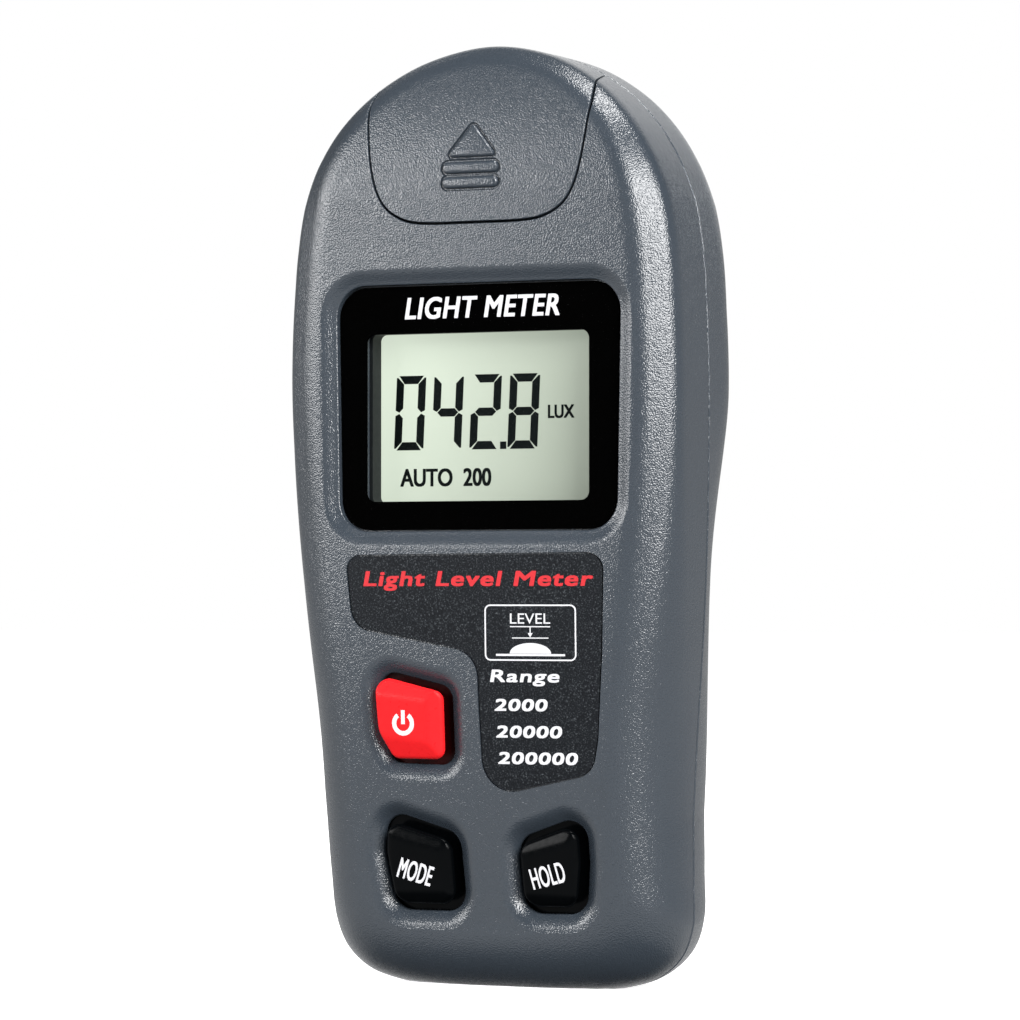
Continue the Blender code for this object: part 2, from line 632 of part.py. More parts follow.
# thumb notch below the door's latch
cut(rear, turned("thumb_notch", [(0, 13.2), (5.0, 13.4), (7.0, 15.2), (0, 15.3)], 0, DOOR_Z[0] - 1.2, 20))
for x, z in CASE_SCREWS:
    cut(rear, disc("counterbore", x, z, 2.5, 3.0, 30, 16), disc("hole", x, z, 1.35, -3, 30, 12))

# ---------------------------------------------------------------- battery door
door = prism("battery_door", door_plan, DOOR_Y, 30, GREY)
skin = rear_solid("skin", 0.0, SEG, BACK_STEPS)
common(door, skin)
# the upper edge is rounded about the hinge axis, so it clears the case as the door swings
corner = box("corner", -40, 40, HINGE[0] - 0.001, 16, HINGE[1], 72)
edge = loft("edge", [[(x, HINGE[0] + HINGE_R * math.cos(a), HINGE[1] + HINGE_R * math.sin(a)) for a in
                      (2 * math.pi * k / 24 for k in range(24))] for x in (-45, 45)])
cut(corner, edge)
cut(door, corner)
join(door, box("latch", -4, 4, 10.9, 13.2, 14.2, 15.3))
for k in range(4):
    cut(door, box("grip", -7, 7, 14.0, 16, 14.0 + 1.8 * k, 14.9 + 1.8 * k))

# ---------------------------------------------------------------- cells, springs and contacts
for k, x in enumerate(CELL_X):
    up = k != 1                     # the middle cell stands the other way up
    z0, z1 = (18.4, 61.7) if up else (18.9, 62.2)
    nub = [(0, z0), (CELL_R - 0.4, z0), (CELL_R, z0 + 0.4), (CELL_R, z1 - 0.4), (CELL_R - 0.4, z1), (1.9, z1),
           (1.9, z1 + 1.1), (0, z1 + 1.1)]
    if not up:
        nub = [(r, z0 + z1 - z) for r, z in nub]
    cell = turned("cell_%d" % (k + 1), nub, 0, 0, 18, CELL_M)
    # turned about Y: stand it up along Z and move it into the bay
    mesh = cell.data
    for v in mesh.vertices:
        px, py, pz = v.co
        v.co = (px + x * MM, CELL_Y * MM + pz, py)
    outward(mesh)

for k, x in enumerate(CELL_X):
    at_top = k == 1
    z0, z1 = (14.75, 17.75) if not at_top else (62.85, 65.85)
    curve = bpy.data.curves.new("battery_spring_%d" % (k + 1), "CURVE")
    curve.dimensions = "3D"
    curve.bevel_depth = 0.32 * MM
    curve.bevel_resolution = 0
    curve.use_fill_caps = True
    line = curve.splines.new("POLY")
    turns, per = 3, 10
    count = turns * per + 1
    line.points.add(count - 1)
    for i in range(count):
        t = i / (count - 1)
        a = 2 * math.pi * turns * t
        wide, narrow = 3.4, 1.9
        r = wide + (narrow - wide) * t
        z = (z0 + (z1 - z0) * t) if not at_top else (z1 - (z1 - z0) * t)
        line.points[i].co = ((x + r * math.cos(a)) * MM, (CELL_Y + r * math.sin(a)) * MM, z * MM, 1)
    obj = bpy.data.objects.new(curve.name, curve)
    bpy.context.scene.collection.objects.link(obj)
    curve.materials.append(STEEL)

box("contact_minus", 11.5 - 4.5, 11.5 + 4.5, 2.4, 10.4, 14.0, 14.3, BRASS)
box("contact_link_bottom", -11.5 - 4.5, 4.5, 2.4, 10.4, 14.0, 14.3, BRASS)
box("contact_plus", -11.5 - 4.5, -11.5 + 4.5, 2.4, 10.4, 66.25, 66.6, BRASS)
box("contact_link_top", -4.5, 11.5 + 4.5, 2.4, 10.4, 66.25, 66.6, BRASS)


def lead(name, route, mat):
    curve = bpy.data.curves.new(name, "CURVE")
    curve.dimensions = "3D"
    curve.bevel_depth = 0.55 * MM
    curve.bevel_resolution = 1
    curve.use_fill_caps = True
    line = curve.splines.new("POLY")
    pts = [Vector(p) for p in route]
    smooth_pts = []
    for i in range(len(pts) - 1):
        p0, p1 = pts[max(i - 1, 0)], pts[i]
        p2, p3 = pts[i + 1], pts[min(i + 2, len(pts) - 1)]
        for k in range(5):
            t = k / 5
            smooth_pts.append(0.5 * (2 * p1 + (p2 - p0) * t + (2 * p0 - 5 * p1 + 4 * p2 - p3) * t * t
                                     + (3 * p1 - p0 - 3 * p2 + p3) * t**3))
    smooth_pts.append(pts[-1])
    line.points.add(len(smooth_pts) - 1)
    for point, p in zip(line.points, smooth_pts):
        point.co = (p.x * MM, p.y * MM, p.z * MM, 1)
    obj = bpy.data.objects.new(name, curve)
    bpy.context.scene.collection.objects.link(obj)
    curve.materials.append(mat)


lead("battery_lead_red", [(-11.5, 8.0, 69.2), (-11.6, 5.5, 70.6), (-12.5, 2.6, 73.5), (-13.5, 0.5, 77.5),
                          (-13.5, -0.05, 81.0)], WIRE_R)
lead("battery_lead_black", [(11.5, 8.0, 11.4), (11.4, 5.4, 10.9), (9.5, 2.6, 10.2), (6.5, 0.6, 9.4),
                            (3.0, -0.05, 9.0)], WIRE_B)

# ---------------------------------------------------------------- screws
for k, (x, z) in enumerate(CASE_SCREWS):
    end = max(-8.0, face_y(x, z) + 6.0)
    screw = turned("case_screw_%d" % (k + 1), [(0, end), (0.95, end + 0.8), (0.95, 3.3), (2.1, 3.3), (2.1, 4.3), (1.5, 5.0),
                                               (0, 5.0)], x, z, 12, STEEL)
    cut(screw, box("slot", x - 1.3, x + 1.3, 4.2, 6, z - 0.3, z + 0.3), box("slot", x - 0.3, x + 0.3, 4.2, 6, z - 1.3, z + 1.3))
for k, (x, z) in enumerate(PCB_SCREWS):
    screw = turned("pcb_screw_%d" % (k + 1), [(0, -7.6), (0.8, -7.0), (0.8, -0.7), (1.8, -0.7), (1.8, 0.0), (1.2, 0.45),
                                              (0, 0.45)], x, z, 10, STEEL)
    cut(screw, box("slot", x - 1.0, x + 1.0, -0.05, 2, z - 0.25, z + 0.25))

# ---------------------------------------------------------------- joint axes
# a moving piece's origin sits on its joint's axis
for name, point in (("sensor_cap", (0, -6.0, 112.5)), ("battery_door", (0, HINGE[0], HINGE[1])),
                    ("power_button", (POWER_C[0], -10.0, POWER_C[1])), ("mode_button", (MODE_C[0], -8.0, MODE_C[1])),
                    ("hold_button", (HOLD_C[0], -8.0, HOLD_C[1])),
                    ("plunger_power", (POWER_C[0], -6.5, POWER_C[1])), ("plunger_mode", (MODE_C[0], -6.5, MODE_C[1])),
                    ("plunger_hold", (HOLD_C[0], -6.5, HOLD_C[1]))):
    obj = bpy.data.objects[name]
    move = Vector(point) * MM
    for v in obj.data.vertices:
        v.co -= move
    obj.location = move

for obj in bpy.data.objects:
    if obj.type == "MESH":
        obj.data.shade_smooth()
        obj.data.set_sharp_from_angle(angle=math.radians(35))
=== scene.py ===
"""Handheld light meter: the looks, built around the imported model. Lengths here are in millimetres until a mesh is made."""
import math

import bmesh
import bpy
import numpy as np
from mathutils import Matrix, Vector
from mathutils.bvhtree import BVHTree


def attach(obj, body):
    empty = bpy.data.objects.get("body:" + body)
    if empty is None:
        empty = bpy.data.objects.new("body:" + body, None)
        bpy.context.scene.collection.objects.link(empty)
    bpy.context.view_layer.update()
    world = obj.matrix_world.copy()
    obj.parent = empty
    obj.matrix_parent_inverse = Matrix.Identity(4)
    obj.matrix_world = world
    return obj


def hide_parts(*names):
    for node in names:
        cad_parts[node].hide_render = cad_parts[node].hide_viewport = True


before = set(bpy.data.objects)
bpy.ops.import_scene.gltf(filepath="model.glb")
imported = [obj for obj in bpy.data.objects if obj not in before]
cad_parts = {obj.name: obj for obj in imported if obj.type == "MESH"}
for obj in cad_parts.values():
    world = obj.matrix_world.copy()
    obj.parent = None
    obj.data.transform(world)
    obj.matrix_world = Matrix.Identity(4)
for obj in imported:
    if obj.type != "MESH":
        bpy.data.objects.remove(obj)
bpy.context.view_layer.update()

MM = 0.001
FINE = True

# ------------------------------------------------------------------ camera first
# 25 degrees to the object's right, one degree below level, 660 mm away, long lens
TH, PH = math.radians(25.0), math.radians(1.1)
to_camera = Vector((math.sin(TH) * math.cos(PH), -math.cos(TH) * math.cos(PH), -math.sin(PH)))
right = Vector((math.cos(TH), math.sin(TH), 0.0))
up = to_camera.cross(right).normalized()
cam_data = bpy.data.cameras.new("camera")
cam_data.sensor_width = 36.0
cam_data.lens = 36.0 * 4500.0 / 1020.0
cam_data.clip_start, cam_data.clip_end = 0.01, 50.0
camera = bpy.data.objects.new("camera", cam_data)
camera.matrix_world = Matrix.Translation((0.283108, -0.608783, 0.057677)) @ Matrix((
    (right.x, up.x, to_camera.x, 0), (right.y, up.y, to_camera.y, 0), (right.z, up.z, to_camera.z, 0), (0, 0, 0, 1)))
bpy.context.scene.collection.objects.link(camera)
bpy.context.scene.camera = camera

# ------------------------------------------------------------------ design numbers, as in the CAD model
FRONT, BACK, SEAM, GAP, WALL = -14.5, 14.5, -0.5, 0.3, 2.0
# stations up the half outline: outline (x, z), front crease (x, z), back-plane edge (x, z)
STATIONS = [
    ((0.0, -0.8), (0.0, 9.6), (0.0, 8.4)),
    ((10.0, -0.65), (6.5, 9.7), (7.0, 8.5)),
    ((18.0, 0.15), (11.3, 10.1), (12.3, 8.9)),
    ((23.0, 1.8), (14.6, 11.0), (16.0, 10.2)),
    ((26.3, 4.8), (16.9, 12.6), (18.2, 12.4)),
    ((28.0, 9.0), (18.2, 15.3), (19.1, 15.6)),
    ((28.6, 16.0), (18.6, 20.5), (19.4, 21.0)),
    ((29.1, 27.0), (19.0, 29.0), (19.6, 29.5)),
    ((29.8, 39.0), (20.1, 39.8), (20.3, 40.0)),
    ((30.7, 52.0), (22.3, 52.3), (21.3, 52.5)),
    ((31.4, 66.0), (24.6, 66.0), (22.2, 66.0)),
    ((31.8, 80.0), (26.3, 80.0), (22.9, 80.0)),
    ((31.9, 90.0), (26.6, 90.0), (23.0, 90.0)),
    ((31.5, 100.0), (26.2, 99.7), (22.7, 99.0)),
    ((30.6, 109.0), (25.4, 107.8), (21.9, 106.5)),
    ((29.1, 116.0), (24.4, 114.2), (20.7, 112.3)),
    ((26.7, 122.5), (23.1, 120.3), (18.9, 117.6)),
    ((22.9, 128.8), (20.4, 126.5), (16.2, 122.6)),
    ((17.5, 134.0), (15.8, 131.7), (12.4, 126.7)),
    ((10.0, 138.1), (9.1, 135.7), (7.1, 129.9)),
    ((0.0, 140.0), (0.0, 137.5), (0.0, 131.2)),
]
# the front edge, from the parting plane (first) to the crease (last): share of the way in, share of the depth
BEVEL_STEPS = [(0.0, 0.0, 1.0), (0.25, 0.04, 0.36), (0.40, 0.10, 0.26), (0.55, 0.22, 0.20),
               (0.70, 0.43, 0.14), (0.82, 0.63, 0.088), (0.92, 0.82, 0.040), (1.0, 1.0, 0.0)]
INNER_STEPS = [BEVEL_STEPS[i] for i in (0, 1, 3, 5, 7)]
BACK_STEPS = [0.0, 0.35, 0.55, 0.70, 0.82, 0.91, 0.97, 1.0]

WINDOW = [(-22.85, 103.5), (22.85, 103.5), (22.25, 67.5), (-22.25, 67.5)]
WINDOW_R = 4.5
LENS_Y = (-13.5, -12.7)
MASK_Y = (-12.5, -12.2)
LEDGE_Y = (-11.9, -10.4)
LCD_OPENING = (-19.0, 18.3, 71.2, 97.0)      # x0, x1, z0, z1
LCD_Y = (-7.2, -5.4)
PCB_Y = (-2.6, -1.0)
SWITCH_Y = (-6.4, -2.9)

POWER = [(-16.6, 46.2), (-5.3, 43.7), (-4.9, 33.8), (-16.2, 34.1)]
POWER_R = 1.7
MODE = [(-15.1, 25.4), (-3.1, 22.0), (-2.6, 11.9), (-14.3, 11.9), (-15.8, 20.0)]
HOLD = [(6.1, 21.7), (16.4, 25.4), (16.8, 19.0), (16.0, 12.1), (6.6, 12.0)]
KEY_R = 2.4
POWER_C = (-10.8, 39.4)
MODE_C = (-9.0, 17.9)
HOLD_C = (11.4, 17.9)
KEY_TRAVEL = 0.9

LABEL = [(-20.9, 63.6), (20.6, 63.9), (20.3, 49.9), (19.3, 37.0), (18.4, 32.4), (5.0, 28.8), (0.6, 34.0),
         (0.3, 49.4), (-19.8, 53.2)]
LABEL_R = [2.0, 2.6, 12.0, 12.0, 3.2, 3.2, 5.0, 5.0, 3.6]

# the sensor cap's edge on the front, from its lower middle to where it leaves the outline
CAP_EDGE = [(0.0, 112.5), (9.0, 112.5), (12.3, 113.4), (14.8, 115.2), (16.3, 118.1), (17.2, 122.0),
            (18.1, 126.0), (19.0, 130.0), (19.9, 134.0), (21.2, 141.5)]
CAP_TRAVEL = 32.0
CAP_SKIN = 1.8
DECK_Y = (-7.2, -5.2)
DOME_Z = 123.0
DOME_R = 8.4

CELL_R = 5.2
CELL_X = (-11.5, 0.0, 11.5)
CELL_Y = 7.2
BAY_X = 17.5
BAY_Z = (13.8, 66.8)
BAY_Y0 = 1.5
BAY_WALL = 1.2
DOOR_X = 18.8
DOOR_Z = (10.4, 70.5)
DOOR_Y = 12.7
HINGE = (13.4, 69.4)     # y, z of the battery door's axis
HINGE_R = 1.1

PCB_SCREWS = [(-14.0, 8.0), (14.0, 8.0), (-14.0, 105.8), (14.0, 105.8)]
CASE_SCREWS = [(-21.3, 9.8), (21.3, 9.8), (-22.8, 108.5), (22.8, 108.5)]



# ------------------------------------------------------------------ materials
def node_material(name):
    mat = bpy.data.materials.new(name)
    mat.use_nodes = True
    nt = mat.node_tree
    return mat, nt, nt.nodes["Principled BSDF"]


def link(nt, a, b):
    nt.links.new(a, b)


def coords(nt):
    return nt.nodes.new("ShaderNodeTexCoord").outputs["Object"]


def noise(nt, co, scale, detail=2.0, rough=0.5):
    n = nt.nodes.new("ShaderNodeTexNoise")
    n.inputs["Scale"].default_value = scale
    n.inputs["Detail"].default_value = detail
    n.inputs["Roughness"].default_value = rough
    link(nt, co, n.inputs["Vector"])
    return n.outputs["Fac"]


def ramp(nt, fac, stops):
    r = nt.nodes.new("ShaderNodeValToRGB")
    r.color_ramp.elements[0].position, r.color_ramp.elements[0].color = stops[0][0], (*stops[0][1], 1)
    r.color_ramp.elements[1].position, r.color_ramp.elements[1].color = stops[-1][0], (*stops[-1][1], 1)
    for pos, col in stops[1:-1]:
        e = r.color_ramp.elements.new(pos)
        e.color = (*col, 1)
    link(nt, fac, r.inputs["Fac"])
    return r.outputs["Color"]


def bump(nt, height, strength, distance, shader):
    b = nt.nodes.new("ShaderNodeBump")
    b.inputs["Strength"].default_value = strength
    b.inputs["Distance"].default_value = distance
    link(nt, height, b.inputs["Height"])
    link(nt, b.outputs["Normal"], shader.inputs["Normal"])


def moulded(name, colour, rough=0.45, grain=2600.0, depth=0.00006, strength=0.6, vary=0.12, specular=0.5,
            rough_vary=0.06, detail=3.0):
    """Moulded plastic: an eroded grain in the bump, and slight cloudiness in colour and gloss."""
    mat, nt, sh = node_material(name)
    co = coords(nt)
    fine = noise(nt, co, grain, detail, 0.55)
    broad = noise(nt, co, 60.0, 2.0)
    mix = nt.nodes.new("ShaderNodeMath")
    mix.operation = "MULTIPLY_ADD"
    mix.inputs[1].default_value = 0.35
    link(nt, broad, mix.inputs[0])
    link(nt, fine, mix.inputs[2])
    lo = tuple(c * (1 - vary) for c in colour)
    hi = tuple(min(1, c * (1 + vary)) for c in colour)
    link(nt, ramp(nt, mix.outputs[0], [(0.35, lo), (1.0, hi)]), sh.inputs["Base Color"])
    r = nt.nodes.new("ShaderNodeMapRange")
    r.inputs["From Min"].default_value, r.inputs["From Max"].default_value = 0.3, 0.7
    r.inputs["To Min"].default_value, r.inputs["To Max"].default_value = rough - rough_vary, rough + rough_vary
    link(nt, fine, r.inputs["Value"])
    link(nt, r.outputs["Result"], sh.inputs["Roughness"])
    sh.inputs["Specular IOR Level"].default_value = specular
    bump(nt, fine, strength, depth, sh)
    return mat


def metal(name, colour, rough=0.3):
    mat, nt, sh = node_material(name)
    co = coords(nt)
    fine = noise(nt, co, 900.0, 4.0, 0.6)
    link(nt, ramp(nt, fine, [(0.3, tuple(c * 0.82 for c in colour)), (0.7, colour)]), sh.inputs["Base Color"])
    r = nt.nodes.new("ShaderNodeMapRange")
    r.inputs["To Min"].default_value, r.inputs["To Max"].default_value = rough - 0.08, rough + 0.12
    link(nt, fine, r.inputs["Value"])
    link(nt, r.outputs["Result"], sh.inputs["Roughness"])
    sh.inputs["Metallic"].default_value = 1.0
    bump(nt, fine, 0.15, 0.00004, sh)
    return mat


def label_film():
    """Dark overlay film with a fine pale speckle."""
    mat, nt, sh = node_material("label_film")
    co = coords(nt)
    speck = noise(nt, co, 4300.0, 1.0, 0.6)
    link(nt, ramp(nt, speck, [(0.40, (0.005, 0.006, 0.008)), (0.56, (0.009, 0.011, 0.014)), (0.66, (0.032, 0.036, 0.040)),
                              (0.80, (0.09, 0.10, 0.11))]), sh.inputs["Base Color"])
    sh.inputs["Roughness"].default_value = 0.5
    sh.inputs["Specular IOR Level"].default_value = 0.12
    bump(nt, speck, 0.35, 0.00005, sh)
    return mat


def lcd_glass():
    """Grey-green reflective cell: a very slight cloud in the colour, a faint pixel weave in the gloss, and a painted
    glow in emission, brighter at the upper left.
    """
    mat, nt, sh = node_material("lcd_cell")
    co = coords(nt)
    cloud = noise(nt, co, 45.0, 1.0)
    link(nt, ramp(nt, cloud, [(0.3, (0.150, 0.170, 0.137)), (0.7, (0.160, 0.180, 0.147))]), sh.inputs["Base Color"])
    sh.inputs["Roughness"].default_value = 0.38
    sh.inputs["Specular IOR Level"].default_value = 0.2
    # painted light: an emission glow, brighter at the cell's upper left edge and dimmer towards the lower right
    across = nt.nodes.new("ShaderNodeVectorMath")
    across.operation = "DOT_PRODUCT"
    across.inputs[1].default_value = (1.0, 0.0, -0.45)
    link(nt, co, across.inputs[0])
    painted_glow = nt.nodes.new("ShaderNodeMapRange")
    painted_glow.inputs["From Min"].default_value, painted_glow.inputs["From Max"].default_value = -0.058, -0.018
    painted_glow.inputs["To Min"].default_value, painted_glow.inputs["To Max"].default_value = 0.77, 0.20
    link(nt, across.outputs["Value"], painted_glow.inputs["Value"])
    sh.inputs["Emission Color"].default_value = (0.80, 0.90, 0.75, 1)
    link(nt, painted_glow.outputs["Result"], sh.inputs["Emission Strength"])
    bump(nt, noise(nt, co, 3000.0, 1.0), 0.1, 0.00002, sh)
    return mat


def clear_lens():
    mat, nt, sh = node_material("clear_lens")
    co = coords(nt)
    link(nt, ramp(nt, noise(nt, co, 30.0), [(0.3, (0.012, 0.013, 0.013)), (0.7, (0.02, 0.021, 0.021))]),
         sh.inputs["Base Color"])
    sh.inputs["Roughness"].default_value = 0.03
    sh.inputs["Alpha"].default_value = 0.002
    mat.surface_render_method = "BLENDED"
    return mat


def ink(name, colour, rough=0.5, emit=0.0, specular=0.3):
    mat, nt, sh = node_material(name)
    co = coords(nt)
    fine = noise(nt, co, 3500.0, 2.0)
    link(nt, ramp(nt, fine, [(0.3, tuple(c * 0.88 for c in colour)), (0.7, colour)]), sh.inputs["Base Color"])
    sh.inputs["Roughness"].default_value = rough
    sh.inputs["Specular IOR Level"].default_value = specular
    if emit:
        sh.inputs["Emission Color"].default_value = (*colour, 1)
        sh.inputs["Emission Strength"].default_value = emit
    bump(nt, fine, 0.15, 0.00002, sh)
    return mat


def board_mask():
    """Solder mask over a pattern of tracks."""
    mat, nt, sh = node_material("solder_mask")
    co = coords(nt)
    v = nt.nodes.new("ShaderNodeTexVoronoi")
    v.distance = "MANHATTAN"
    v.feature = "F1"
    v.inputs["Scale"].default_value = 380.0
    link(nt, co, v.inputs["Vector"])
    link(nt, ramp(nt, v.outputs["Distance"], [(0.1, (0.02, 0.16, 0.07)), (0.3, (0.008, 0.09, 0.035)),
                                              (0.7, (0.006, 0.07, 0.03))]), sh.inputs["Base Color"])
    sh.inputs["Roughness"].default_value = 0.32
    bump(nt, v.outputs["Distance"], 0.3, 0.00004, sh)
    return mat


def painted_gap_shade(mat, tilt, start, end, share):
    """Painted shade: dims the base colour with depth, measured along Y over a face that leans by tilt per unit of
    height, standing in for the shadow down in a gap.
    """
    nt = mat.node_tree
    sh = nt.nodes["Principled BSDF"]
    source = sh.inputs["Base Color"].links[0].from_socket
    depth = nt.nodes.new("ShaderNodeVectorMath")
    depth.operation = "DOT_PRODUCT"
    depth.inputs[1].default_value = (0.0, 1.0, -tilt)
    link(nt, coords(nt), depth.inputs[0])
    dim = nt.nodes.new("ShaderNodeMapRange")
    dim.interpolation_type = "SMOOTHSTEP"
    dim.inputs["From Min"].default_value, dim.inputs["From Max"].default_value = start * MM, end * MM
    dim.inputs["To Min"].default_value, dim.inputs["To Max"].default_value = 1.0, share
    link(nt, depth.outputs["Value"], dim.inputs["Value"])
    scale = nt.nodes.new("ShaderNodeVectorMath")
    scale.operation = "SCALE"
    link(nt, source, scale.inputs[0])
    link(nt, dim.outputs["Result"], scale.inputs["Scale"])
    link(nt, scale.outputs["Vector"], sh.inputs["Base Color"])


GREY = moulded("case_grey", (0.034, 0.0435, 0.0555), 0.22, 4900.0, 0.000064, 0.85, 0.10, 0.72, 0.03, 0.0)
BLACK = moulded("black_plastic", (0.0045, 0.0045, 0.005), 0.25, 900.0, 0.00002, 0.1, 0.1, 0.15)
MASK = moulded("black_mask", (0.0006, 0.0006, 0.0006), 0.3, 600.0, 0.00001, 0.05, 0.1, 0.0)
WELL = moulded("black_well", (0.010, 0.012, 0.013), 0.45, 1200.0, 0.00003, 0.2, 0.1, 0.15)
KEY_BLACK = moulded("key_black", (0.0010, 0.0014, 0.0018), 0.2, 1200.0, 0.00002, 0.12, 0.1, 0.06)
RED = moulded("key_red", (0.80, 0.014, 0.018), 0.32, 1200.0, 0.00002, 0.12, 0.05, 0.12)
HOLDER = moulded("holder_black", (0.012, 0.012, 0.013), 0.42, 1500.0, 0.00004, 0.3, 0.1)
LABEL_M = label_film()
LCD_M = lcd_glass()
LENS_M = clear_lens()
# the white ink also glows faintly in emission: painted light
INK_WHITE = ink("ink_white", (0.74, 0.74, 0.77), emit=0.03)
INK_RED = ink("ink_red", (0.62, 0.022, 0.03))
SEGMENT = ink("lcd_segment", (0.003, 0.005, 0.005), 0.5, specular=0.04)
DIFFUSER = moulded("diffuser_white", (0.84, 0.84, 0.80), 0.38, 800.0, 0.00002, 0.1, 0.03)
DIFFUSER.node_tree.nodes["Principled BSDF"].inputs["Subsurface Weight"].default_value = 0.15
DIFFUSER.node_tree.nodes["Principled BSDF"].inputs["Subsurface Scale"].default_value = 0.002
FILTER_M = ink("filter_glass", (0.05, 0.28, 0.20), 0.08)
STEEL = metal("zinc_steel", (0.62, 0.63, 0.65), 0.32)
NICKEL = metal("nickel_strip", (0.70, 0.68, 0.60), 0.25)
BOARD = board_mask()
CHIP = moulded("chip_black", (0.012, 0.012, 0.013), 0.5, 3000.0, 0.00002, 0.3, 0.15)
ZEBRA = moulded("zebra_rubber", (0.03, 0.03, 0.032), 0.7, 2500.0, 0.00003, 0.3, 0.3)
FLEX = moulded("flex_film", (0.42, 0.17, 0.03), 0.3, 700.0, 0.00001, 0.1, 0.15)
WIRE_R = moulded("wire_red", (0.5, 0.012, 0.012), 0.35, 900.0, 0.00001, 0.1, 0.1)
WIRE_B = moulded("wire_black", (0.012, 0.012, 0.012), 0.35, 900.0, 0.00001, 0.1, 0.1)
SLEEVE = moulded("cell_sleeve", (0.03, 0.06, 0.16), 0.25, 500.0, 0.00001, 0.1, 0.12)
SLEEVE_BAND = metal("cell_band", (0.66, 0.64, 0.58), 0.25)


# ------------------------------------------------------------------ mesh helpers
def outward(mesh, weld=1e-7):
    bm = bmesh.new()
    bm.from_mesh(mesh)
    bmesh.ops.remove_doubles(bm, verts=bm.verts, dist=weld)
    bmesh.ops.recalc_face_normals(bm, faces=bm.faces)
    if bm.calc_volume(signed=True) < 0:
        bmesh.ops.reverse_faces(bm, faces=bm.faces)
    bm.to_mesh(mesh)
    bm.free()


def solid(name, points, faces, mat=None):
    mesh = bpy.data.meshes.new(name)
    mesh.from_pydata([(p[0] * MM, p[1] * MM, p[2] * MM) for p in points], [], faces)
    outward(mesh)
    obj = bpy.data.objects.new(name, mesh)
    bpy.context.scene.collection.objects.link(obj)
    if mat:
        mesh.materials.append(mat)
    return obj


def loft(name, rings, mat=None, first_cap=True, last_cap=True, extra_points=(), extra_faces=()):
    n = len(rings[0])
    points = [p for ring in rings for p in ring]
    faces = []
    for k in range(len(rings) - 1):
        for i in range(n):
            j = (i + 1) % n
            faces.append((k * n + i, k * n + j, (k + 1) * n + j, (k + 1) * n + i))
    if first_cap:
        faces.append(tuple(range(n)))
    if last_cap:
        faces.append(tuple(range((len(rings) - 1) * n, len(rings) * n)))
    return solid(name, points + list(extra_points), faces + list(extra_faces), mat)


def prism(name, outline, y0, y1, mat=None):
    return loft(name, [[(x, y0, z) for x, z in outline], [(x, y1, z) for x, z in outline]], mat)


def box(name, x0, x1, y0, y1, z0, z1, mat=None):
    return prism(name, [(x0, z0), (x1, z0), (x1, z1), (x0, z1)], y0, y1, mat)


def turned(name, profile, cx, cz, steps, mat=None):
    points, rows, faces = [], [], []
    for radius, y in profile:
        if radius == 0:
            rows.append([len(points)])
            points.append((cx, y, cz))
        else:
            rows.append(list(range(len(points), len(points) + steps)))
            points += [(cx + radius * math.cos(2 * math.pi * k / steps), y,
                        cz + radius * math.sin(2 * math.pi * k / steps)) for k in range(steps)]
    for a, b in zip(rows, rows[1:]):
        if len(a) == len(b) == 1:
            continue
        for k in range(steps):
            m = (k + 1) % steps
            if len(a) == 1:
                faces.append((a[0], b[k], b[m]))
            elif len(b) == 1:
                faces.append((a[k], a[m], b[0]))
            else:
                faces.append((a[k], a[m], b[m], b[k]))
    if profile[0] != profile[-1]:
        for row in (rows[0], rows[-1]):
            if len(row) > 1:
                faces.append(tuple(row))
    return solid(name, points, faces, mat)


def disc(name, cx, cz, radius, y0, y1, steps=48, mat=None):
    return turned(name, [(radius, y0), (radius, y1)], cx, cz, steps, mat)


def remove(obj):
    mesh = obj.data
    bpy.data.objects.remove(obj, do_unlink=True)
    if mesh.users == 0:
        bpy.data.meshes.remove(mesh)


def evaluated(obj):
    bpy.context.view_layer.update()
    return bpy.data.meshes.new_from_object(obj.evaluated_get(bpy.context.evaluated_depsgraph_get()))


def combine(target, other, operation, keep=False):
    """One Boolean, applied. The fast solver first, and the exact one where that refuses the pair."""
    mesh = None
    before = (len(target.data.vertices), len(target.data.polygons))
    for solver in ("MANIFOLD", "EXACT"):
        mod = target.modifiers.new("Boolean", "BOOLEAN")
        mod.operation, mod.object, mod.solver = operation, other, solver
        mesh = evaluated(target)
        target.modifiers.clear()
        if len(mesh.polygons) and (len(mesh.vertices), len(mesh.polygons)) != before:
            break
        print("SOLVER", solver, "left", target.name, "as it was:", other.name)
    mats = list(target.data.materials)
    old, target.data = target.data, mesh
    bpy.data.meshes.remove(old)
    mesh.materials.clear()
    for m in mats[:1]:
        mesh.materials.append(m)
    mesh.polygons.foreach_set("material_index", np.zeros(len(mesh.polygons), np.int32))
    outward(mesh)
    if not keep:
        remove(other)
    return target


def cut(target, *tools, keep=False):
    for tool in tools:
        combine(target, tool, "DIFFERENCE", keep)
    return target


def join(target, *tools):
    for tool in tools:
        combine(target, tool, "UNION")
    return target


def common(target, other, keep=False):
    return combine(target, other, "INTERSECT", keep)


def rounded(corners, radius, steps=4):
    radii = radius if isinstance(radius, (list, tuple)) else [radius] * len(corners)
    out = []
    n = len(corners)
    for i in range(n):
        a, b, c = (Vector(corners[(i + k) % n]) for k in (-1, 0, 1))
        u, v = (a - b), (c - b)
        lu, lv = u.length, v.length
        u.normalize()
        v.normalize()
        half = math.acos(max(-1, min(1, u.dot(v)))) / 2
        reach = min(radii[i] / math.tan(half), 0.48 * lu, 0.48 * lv)
        r = reach * math.tan(half)
        centre = b + (u + v).normalized() * (r / math.sin(half))
        p, q = b + u * reach - centre, b + v * reach - centre
        start = math.atan2(p.y, p.x)
        turn = (math.atan2(q.y, q.x) - start + math.pi) % (2 * math.pi) - math.pi
        for k in range(steps + 1):
            t = start + turn * k / steps
            out.append((centre.x + r * math.cos(t), centre.y + r * math.sin(t)))
    return out


